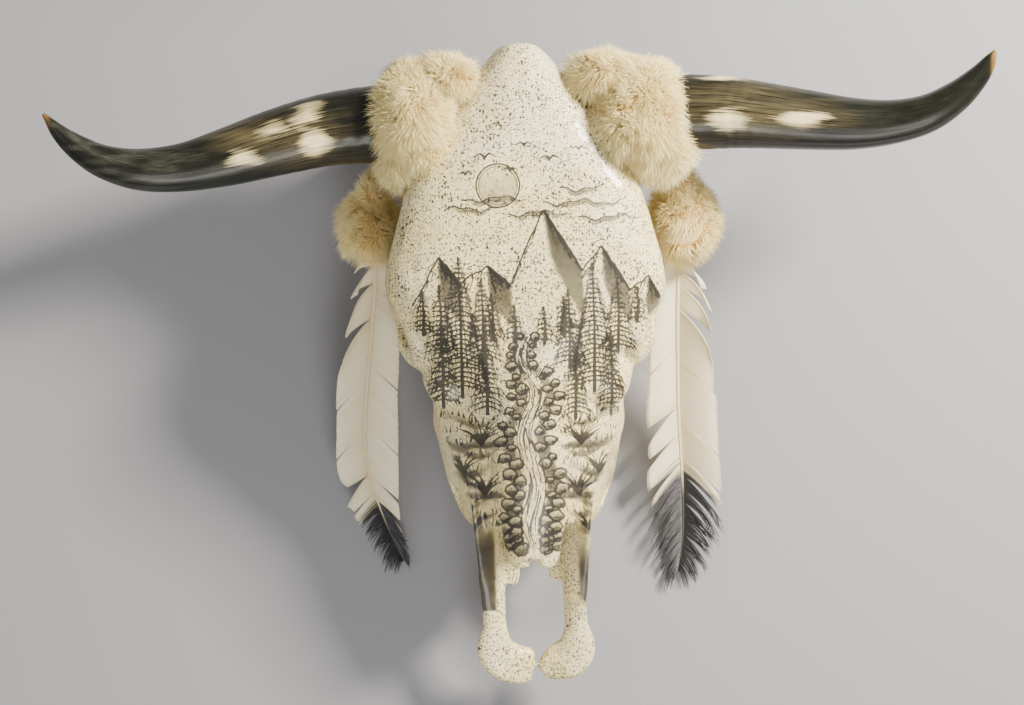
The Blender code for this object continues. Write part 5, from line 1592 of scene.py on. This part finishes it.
def barbs(side, per_side, seed):
    """Barbs as thin four-sided blades: each leaves the quill, leans to the tip and bends down. Between
    two partings they draw together, the more the further out."""
    sign = SIDES[side]
    random = np.random.default_rng(seed)
    path, inner, outer = feather_path(side, 400)
    span = np.linspace(0, 1, 400)
    s = np.linspace(0, 1, 10)[None]
    points, looks, homes = [], [], []
    for edge, widths, splits in ((-1, inner, SPLITS[side][0]), (1, outer, SPLITS[side][1])):
        start = np.linspace(*BARB_SPAN, per_side)
        bound = np.array([0.0, *(share for share, _ in splits), 1.0])
        gap = np.array([0.004, *(wide for _, wide in splits), 0.004])
        group = np.clip(np.searchsorted(bound, start) - 1, 0, len(bound) - 2)
        low, high = bound[group], bound[group + 1]
        local = (start - low) / (high - low)
        draw = (1 - local) ** 2 * gap[group] * (low > 0) - local ** 2 * gap[group + 1] * (high < 1)
        edges = (local < 0.5) * (1 - local) ** 8 * gap[group] + (local >= 0.5) * local ** 8 * gap[group + 1]
        edges = np.clip(edges / 0.005, 0, 1)
        curl = random.uniform(-1, 1, len(bound))[group]
        reach = 1 + (random.uniform(-0.10, 0.05, len(bound)) * np.clip(gap / 0.006, 0, 1))[group]
        tip = smooth_step(start, BLACK_FROM[side] - 0.03, BLACK_FROM[side] + 0.10)
        wisp = np.where(random.random(per_side) < 0.5, random.uniform(0.75, 1.25, per_side), 1.0)
        width = np.interp(start, span, widths) * reach * (1 + tip * (wisp - 1))
        width = width * (1 - 0.06 * edges) + random.uniform(0, 0.0005, per_side)
        root = np.column_stack([np.interp(start, span, path[:, k]) for k in range(3)])
        slant = (0.42 + 0.45 * smooth_step(start, 0.0, 0.25) + 0.15 * start)[:, None]
        top = (1 - smooth_step(start, 0.10, 0.30))[:, None] * (edge > 0)
        x = sign * edge * width[:, None] * (s - (0.10 * tip[:, None] + 0.10 * top) * s ** 3)
        y = -slant * width[:, None] * s ** 1.15 - draw[:, None] * s ** 1.5
        y = y - 0.30 * top * width[:, None] * s ** 5
        y = y - (tip * random.uniform(-0.004, 0.007, per_side))[:, None] * s ** 2
        y = y - (0.006 * curl * tip)[:, None] * s ** 3
        z = 0.0030 * np.sin(math.pi * s * 0.85) + (0.0014 * curl * (0.5 + tip))[:, None] * s ** 2
        z = z - 0.0016 * s ** 3 + (random.uniform(0, 0.003, per_side) * tip)[:, None] * s ** 2
        line = root[:, None] + np.stack([x, y, z], -1)
        line[..., 2] = np.maximum(line[..., 2], FLOOR + 0.0007)
        ahead = unit(np.gradient(line, axis=1))
        up = np.broadcast_to((0.0, 0.0, 1.0), line.shape)
        across = unit(np.cross(ahead, up))
        thin = 1 - 0.78 * s ** 3 * (0.25 + 0.75 * tip[:, None])
        half = QUILL_LENGTH / per_side * (0.64 - 0.12 * tip[:, None]) * thin + 0.00004
        thick = 0.00016 * (1 - 0.5 * s) + 0.00004
        points.append(np.stack([line + across * half[..., None], line + up * thick[..., None],
                                line - across * half[..., None], line - up * thick[..., None]], 2))
        shift = random.uniform(-0.020, 0.020, len(bound))[group] + 0.008 * random.standard_normal(per_side)
        where = start[:, None] + 0.020 * s - 0.030 * s ** 2 + shift[:, None]
        black = smooth_step(where, BLACK_FROM[side], BLACK_FROM[side] + 0.035)
        tone = np.clip(0.4 + 0.3 * random.standard_normal(per_side), 0, 1)[:, None] + 0 * s
        # Painted shade: darker near the quill and at the edges of each parting.
        shade = np.clip(0.6 - 1.5 * s, 0, 1) * 0.6 + (0.35 * edges)[:, None]
        looks.append(np.stack([black, tone, shade + 0 * s], -1))
        homes.append(np.stack([start[:, None] + 0 * s,
                               0.5 + edge * (0.02 + 0.46 * s) + 0 * start[:, None]], -1))
    body = np.concatenate(points)
    look = np.repeat(np.concatenate(looks)[:, :, None], 4, 2)
    home = np.repeat(np.concatenate(homes)[:, :, None], 4, 2) + np.array(
        [(0.001, 0), (0, 0.0008), (-0.001, 0), (0, -0.0008)])
    count, rings, corners = body.shape[:3]
    index = np.arange(count * rings * corners).reshape(count, rings, corners)
    near, far = index[:, :-1], index[:, 1:]
    quads = np.stack([near, np.roll(near, -1, 2), np.roll(far, -1, 2), far], -1).reshape(-1, 4)
    caps = np.concatenate([index[:, 0, ::-1], index[:, -1]])
    faces = np.concatenate([quads, caps])
    return body.reshape(-1, 3), faces, look.reshape(-1, 3), home.reshape(-1, 2)


def quill_surface(side):
    """A tapering tube along the feather, a little proud of the vanes."""
    path, _, _ = feather_path(side, 160)
    share = np.linspace(0, 1, 160)
    radius = 0.0019 * (1 - share) ** 0.75 + 0.00025
    rows = np.column_stack([path * (SIDES[side], 1, 1), radius, radius * 0.85, 0 * share])
    rows[:, 2] = np.maximum(rows[:, 2] + 0.0004, FLOOR + radius + 0.0006)
    return sweep_rings(rows, 160, SIDES[side], 16), share


# Settings, one group for each kind of thing

class BoneSettings(bpy.types.PropertyGroup):
    voxel: bpy.props.FloatProperty(
        name="Bone Detail", description="Size of the grid that fuses the bone forms", default=0.0019,
        min=0.001, max=0.01, precision=4, subtype="DISTANCE", unit="LENGTH")
    paint: bpy.props.FloatVectorProperty(
        name="Paint", description="Colour of the off-white paint", default=(0.97, 0.85, 0.45),
        size=3, min=0, max=1, subtype="COLOR")
    fleck: bpy.props.FloatVectorProperty(
        name="Flecks", description="Colour of the dark flecks in the paint", default=(0.016, 0.016, 0.017),
        size=3, min=0, max=1, subtype="COLOR")
    ink: bpy.props.FloatVectorProperty(
        name="Ink", description="Colour of the drawn lines", default=(0.009, 0.007, 0.005),
        size=3, min=0, max=1, subtype="COLOR")


class HornSettings(bpy.types.PropertyGroup):
    steps: bpy.props.IntProperty(
        name="Rings", description="Rings along each horn", default=320, min=40, max=800)
    sides: bpy.props.IntProperty(
        name="Sides", description="Points round each horn", default=72, min=12, max=200)
    horn: bpy.props.FloatVectorProperty(
        name="Horn", description="Colour of the dark horn", default=(0.003, 0.0032, 0.0022),
        size=3, min=0, max=1, subtype="COLOR")


class FurSettings(bpy.types.PropertyGroup):
    count: bpy.props.IntProperty(
        name="Hairs", description="Tufts of hair in each piece of a coat", default=10200, min=500, max=12000)
    wrap_length: bpy.props.FloatProperty(
        name="Wrap Hair", description="Length of the hair round the horns", default=0.0155, min=0.002,
        max=0.06, precision=4, subtype="DISTANCE", unit="LENGTH")
    puff_length: bpy.props.FloatProperty(
        name="Puff Hair", description="Length of the hair on the puffs", default=0.0130, min=0.002,
        max=0.06, precision=4, subtype="DISTANCE", unit="LENGTH")
    fur: bpy.props.FloatVectorProperty(
        name="Fur", description="Colour of the hair", default=(1.0, 0.79, 0.31),
        size=3, min=0, max=1, subtype="COLOR")


class FeatherSettings(bpy.types.PropertyGroup):
    barbs: bpy.props.IntProperty(
        name="Barbs", description="Barbs on each side of a quill", default=380, min=40, max=900)
    feather: bpy.props.FloatVectorProperty(
        name="Feather", description="Colour of the white of the feathers", default=(0.96, 0.89, 0.66),
        size=3, min=0, max=1, subtype="COLOR")


class StageSettings(bpy.types.PropertyGroup):
    height: bpy.props.FloatProperty(
        name="Camera Height", description="Height of the camera above the floor", default=2.92, min=0.5,
        max=10, subtype="DISTANCE", unit="LENGTH")
    turn: bpy.props.FloatProperty(
        name="Camera Turn", description="Turn of the camera about its line of sight",
        default=math.radians(1.7), min=-1, max=1, subtype="ANGLE")
    floor: bpy.props.FloatVectorProperty(
        name="Floor", description="Colour of the floor", default=(0.29, 0.29, 0.31),
        size=3, min=0, max=1, subtype="COLOR")


# Operators

class SKULL_OT_bone(bpy.types.Operator):
    """Makes the painted bones and the cheek teeth"""
    bl_idname = "skull.bone"
    bl_label = "Bones"

    def execute(self, context):
        options = context.scene.skull_bone
        skull = fused_skull(options.voxel)
        weather(skull)
        nose = take_off(skull, "nose", nasal_rings())
        bones = {}
        for side, sign in SIDES.items():
            half = copy_of(nose, f"painted_nasal_{side}")
            boolean(half, region_object(box_rings(sign, *ONE_HALF)), "INTERSECT")
            bones[f"nasal_{side}"] = half
        bpy.data.objects.remove(nose)
        for side, sign in SIDES.items():
            boolean(skull, region_object(box_rings(sign, *CORE_CUT)), "DIFFERENCE")
            bones[f"zygomatic_{side}"] = take_off(skull, f"painted_zygomatic_{side}",
                                                  box_rings(sign, *ZYGOMATIC_REGION))
            bones[f"incisive_{side}"] = take_off(skull, f"painted_incisive_{side}",
                                                 box_rings(sign, *INCISIVE_REGION))
            bones[f"maxilla_{side}"] = take_off(skull, f"painted_maxilla_{side}", maxilla_rings(sign))
        for side, sign in SIDES.items():
            half = copy_of(skull, f"painted_cranium_{side}")
            boolean(half, region_object(box_rings(sign, *ONE_HALF)), "INTERSECT")
            bones[f"cranium {side}"] = half
        bpy.data.objects.remove(skull)
        lines, tones = drawing()
        finish = painted_bone(options)
        for node, bone in bones.items():
            boolean(bone, region_object(box_rings(1, *BELOW_FLOOR)), "DIFFERENCE")
            thin_below(bone)
            refine(bone, None if node.startswith("incisive") else lines, NEAR_LINES)
            refine(bone, lines, ON_LINES)
            paint_bone(bone, lines, tones)
            bone.data.shade_smooth()
            bone.data.set_sharp_from_angle(angle=SHARP_FROM)
            dress(bone, finish, (node.split()[0],))
        crown = enamel()
        for side, sign in SIDES.items():
            teeth = shells_object(f"cheek_teeth_{side}", teeth_shells(sign))
            teeth.data.set_sharp_from_angle(angle=SHARP_FROM)
            dress(teeth, crown)
        return {"FINISHED"}


class SKULL_OT_horns(bpy.types.Operator):
    """Makes the two polished horns"""
    bl_idname = "skull.horns"
    bl_label = "Horns"

    def execute(self, context):
        options = context.scene.skull_horns
        finish = polished_horn(options)
        for side in SIDES:
            rings, share, angle = horn_surface(side, options.steps, options.sides)
            points, faces = ring_skin(rings)
            mesh = mesh_of(f"polished_horn_{side}", points, faces)
            paint(mesh, "horn", horn_marks(side, points))
            around = 0.5 - np.abs(angle - 0.5)
            place = np.column_stack([share.ravel(), around.ravel()])
            place = np.vstack([place, (0, 0.25), (1, 0.25)])
            corner_map(mesh, "fibres", place)
            dress(object_of(f"polished_horn_{side}", mesh), finish, (f"horn_{side}",))
        return {"FINISHED"}


class SKULL_OT_fur(bpy.types.Operator):
    """Makes the fur wraps round the horns, the puffs under them and the thongs between"""
    bl_idname = "skull.fur"
    bl_label = "Fur"

    def execute(self, context):
        options = context.scene.skull_fur
        graph = context.evaluated_depsgraph_get()
        hair, skin, leather = soft_fur(options), felt(), hide()
        for index, (side, sign) in enumerate(SIDES.items()):
            horn_tree = BVHTree.FromObject(bpy.data.objects[f"polished_horn_{side}"], graph)
            bone_tree = BVHTree.FromObject(bpy.data.objects[f"painted_cranium_{side}"], graph)
            for part in range(2):
                coat = fur_coat(f"fur_wrap_hair_{side}_{part}", WRAPS[side], sign, options.count,
                                options.wrap_length, (horn_tree, bone_tree), 100 + 40 * index + 17 * part)
                dress(coat, hair, (f"fur_wrap_{side}",))
            dress(pelt(f"fur_wrap_pelt_{side}", WRAPS[side], sign), skin, (f"fur_wrap_{side}",))
            coat = fur_coat(f"fur_puff_hair_{side}", PUFFS[side], sign, options.count, options.puff_length,
                            (bone_tree,), 300 + 40 * index)
            dress(coat, hair, (f"fur_puff_{side}",))
            dress(pelt(f"fur_puff_pelt_{side}", PUFFS[side], sign), skin, (f"fur_puff_{side}",))
            strap = shells_object(f"hide_thong_{side}", [sweep_rings(THONGS[side], 60, sign, 20)])
            dress(strap, leather, (f"thong_{side}",))
        return {"FINISHED"}


class SKULL_OT_feathers(bpy.types.Operator):
    """Makes the two hanging feathers"""
    bl_idname = "skull.feathers"
    bl_label = "Feathers"

    def execute(self, context):
        options = context.scene.skull_feathers
        vane, shaft = feather_vane(options), quill_horn()
        for index, side in enumerate(SIDES):
            points, faces, look, home = barbs(side, options.barbs, 500 + index)
            mesh = mesh_of(f"feather_barbs_{side}", points, faces)
            paint(mesh, "barb", look)
            corner_map(mesh, "OFBake", home)
            dress(object_of(f"feather_barbs_{side}", mesh), vane, (f"feather_{side}",))
            rings, share = quill_surface(side)
            points, faces = ring_skin(rings)
            mesh = mesh_of(f"feather_quill_{side}", points, faces)
            begin = BLACK_FROM[side]
            dark = np.append(np.repeat(smooth_step(share, begin, begin + 0.12), rings.shape[1]), (0, 1))
            paint(mesh, "barb", dark)
            dress(object_of(f"feather_quill_{side}", mesh), shaft, (f"feather_{side}",))
        return {"FINISHED"}


class SKULL_OT_stage(bpy.types.Operator):
    """Makes the floor, the lights and the camera"""
    bl_idname = "skull.stage"
    bl_label = "Stage"

    def execute(self, context):
        options = context.scene.skull_stage
        span = np.array([(-6, -6, 0), (6, -6, 0), (6, 6, 0), (-6, 6, 0)], float)
        floor = object_of("floor", mesh_of("floor", span, np.array([(0, 1, 2, 3)]), False))
        s = Shader("floor_paper")
        s.set(Base_Color=(*options.floor, 1.0), Roughness=0.9)
        floor.data.materials.append(s.made)

        for name, place, power, size, colour in LAMPS:
            light = bpy.data.lights.new(name, "AREA")
            light.energy, light.size, light.color = power, size, colour
            made = bpy.data.objects.new(name, light)
            made.location = place
            made.rotation_mode = "QUATERNION"
            made.rotation_quaternion = (Vector(LAMP_AIM) - Vector(place)).to_track_quat("-Z", "Y")
            context.scene.collection.objects.link(made)
        world = bpy.data.worlds.new("studio")
        world.use_nodes = True
        sky = world.node_tree.nodes["Background"]
        sky.inputs["Color"].default_value = SKY_COLOUR
        sky.inputs["Strength"].default_value = SKY_STRENGTH
        context.scene.world = world

        camera = bpy.data.objects.new("camera", bpy.data.cameras.new("camera"))
        context.scene.collection.objects.link(camera)
        turn = options.turn
        right = Vector((math.cos(turn), -math.sin(turn), 0))
        up = Vector((math.sin(turn), math.cos(turn), 0))
        stand = Matrix((right, up, (0, 0, 1))).transposed().to_4x4()
        stand.translation = (*VIEW_CENTRE, options.height)
        camera.matrix_world = stand
        camera.data.sensor_width = SENSOR_WIDTH
        camera.data.lens = SENSOR_WIDTH * FACE_DISTANCE / (PHOTO_WIDTH * PIXEL_SIZE)
        camera.data.clip_start, camera.data.clip_end = 0.1, 50
        context.scene.camera = camera
        return {"FINISHED"}


class SKULL_PT_panel(bpy.types.Panel):
    """Lists the settings and the makers of each piece"""
    bl_idname = "SKULL_PT_panel"
    bl_label = "Painted Cow Skull"
    bl_space_type = "VIEW_3D"
    bl_region_type = "UI"
    bl_category = "Cow Skull"

    def draw(self, context):
        scene = context.scene
        for group, maker in ((scene.skull_bone, "skull.bone"), (scene.skull_horns, "skull.horns"),
                             (scene.skull_fur, "skull.fur"), (scene.skull_feathers, "skull.feathers"),
                             (scene.skull_stage, "skull.stage")):
            box = self.layout.box()
            for name in group.__annotations__:
                box.prop(group, name)
            box.operator(maker)


SETTINGS = {
    "skull_bone": BoneSettings, "skull_horns": HornSettings, "skull_fur": FurSettings,
    "skull_feathers": FeatherSettings, "skull_stage": StageSettings,
}
CLASSES = (*SETTINGS.values(), SKULL_OT_bone, SKULL_OT_horns, SKULL_OT_fur, SKULL_OT_feathers,
           SKULL_OT_stage, SKULL_PT_panel)


def register():
    """Makes the settings, operators and panel known to Blender."""
    for made in CLASSES:
        bpy.utils.register_class(made)
    for name, group in SETTINGS.items():
        setattr(bpy.types.Scene, name, bpy.props.PointerProperty(type=group))


def unregister():
    """Takes them out again."""
    for name in SETTINGS:
        delattr(bpy.types.Scene, name)
    for made in reversed(CLASSES):
        bpy.utils.unregister_class(made)


def main():
    """Makes every piece and the stage."""
    register()
    bpy.ops.skull.stage()
    bpy.ops.skull.bone()
    bpy.ops.skull.horns()
    bpy.ops.skull.fur()
    bpy.ops.skull.feathers()


if __name__ == "__main__":
    main()
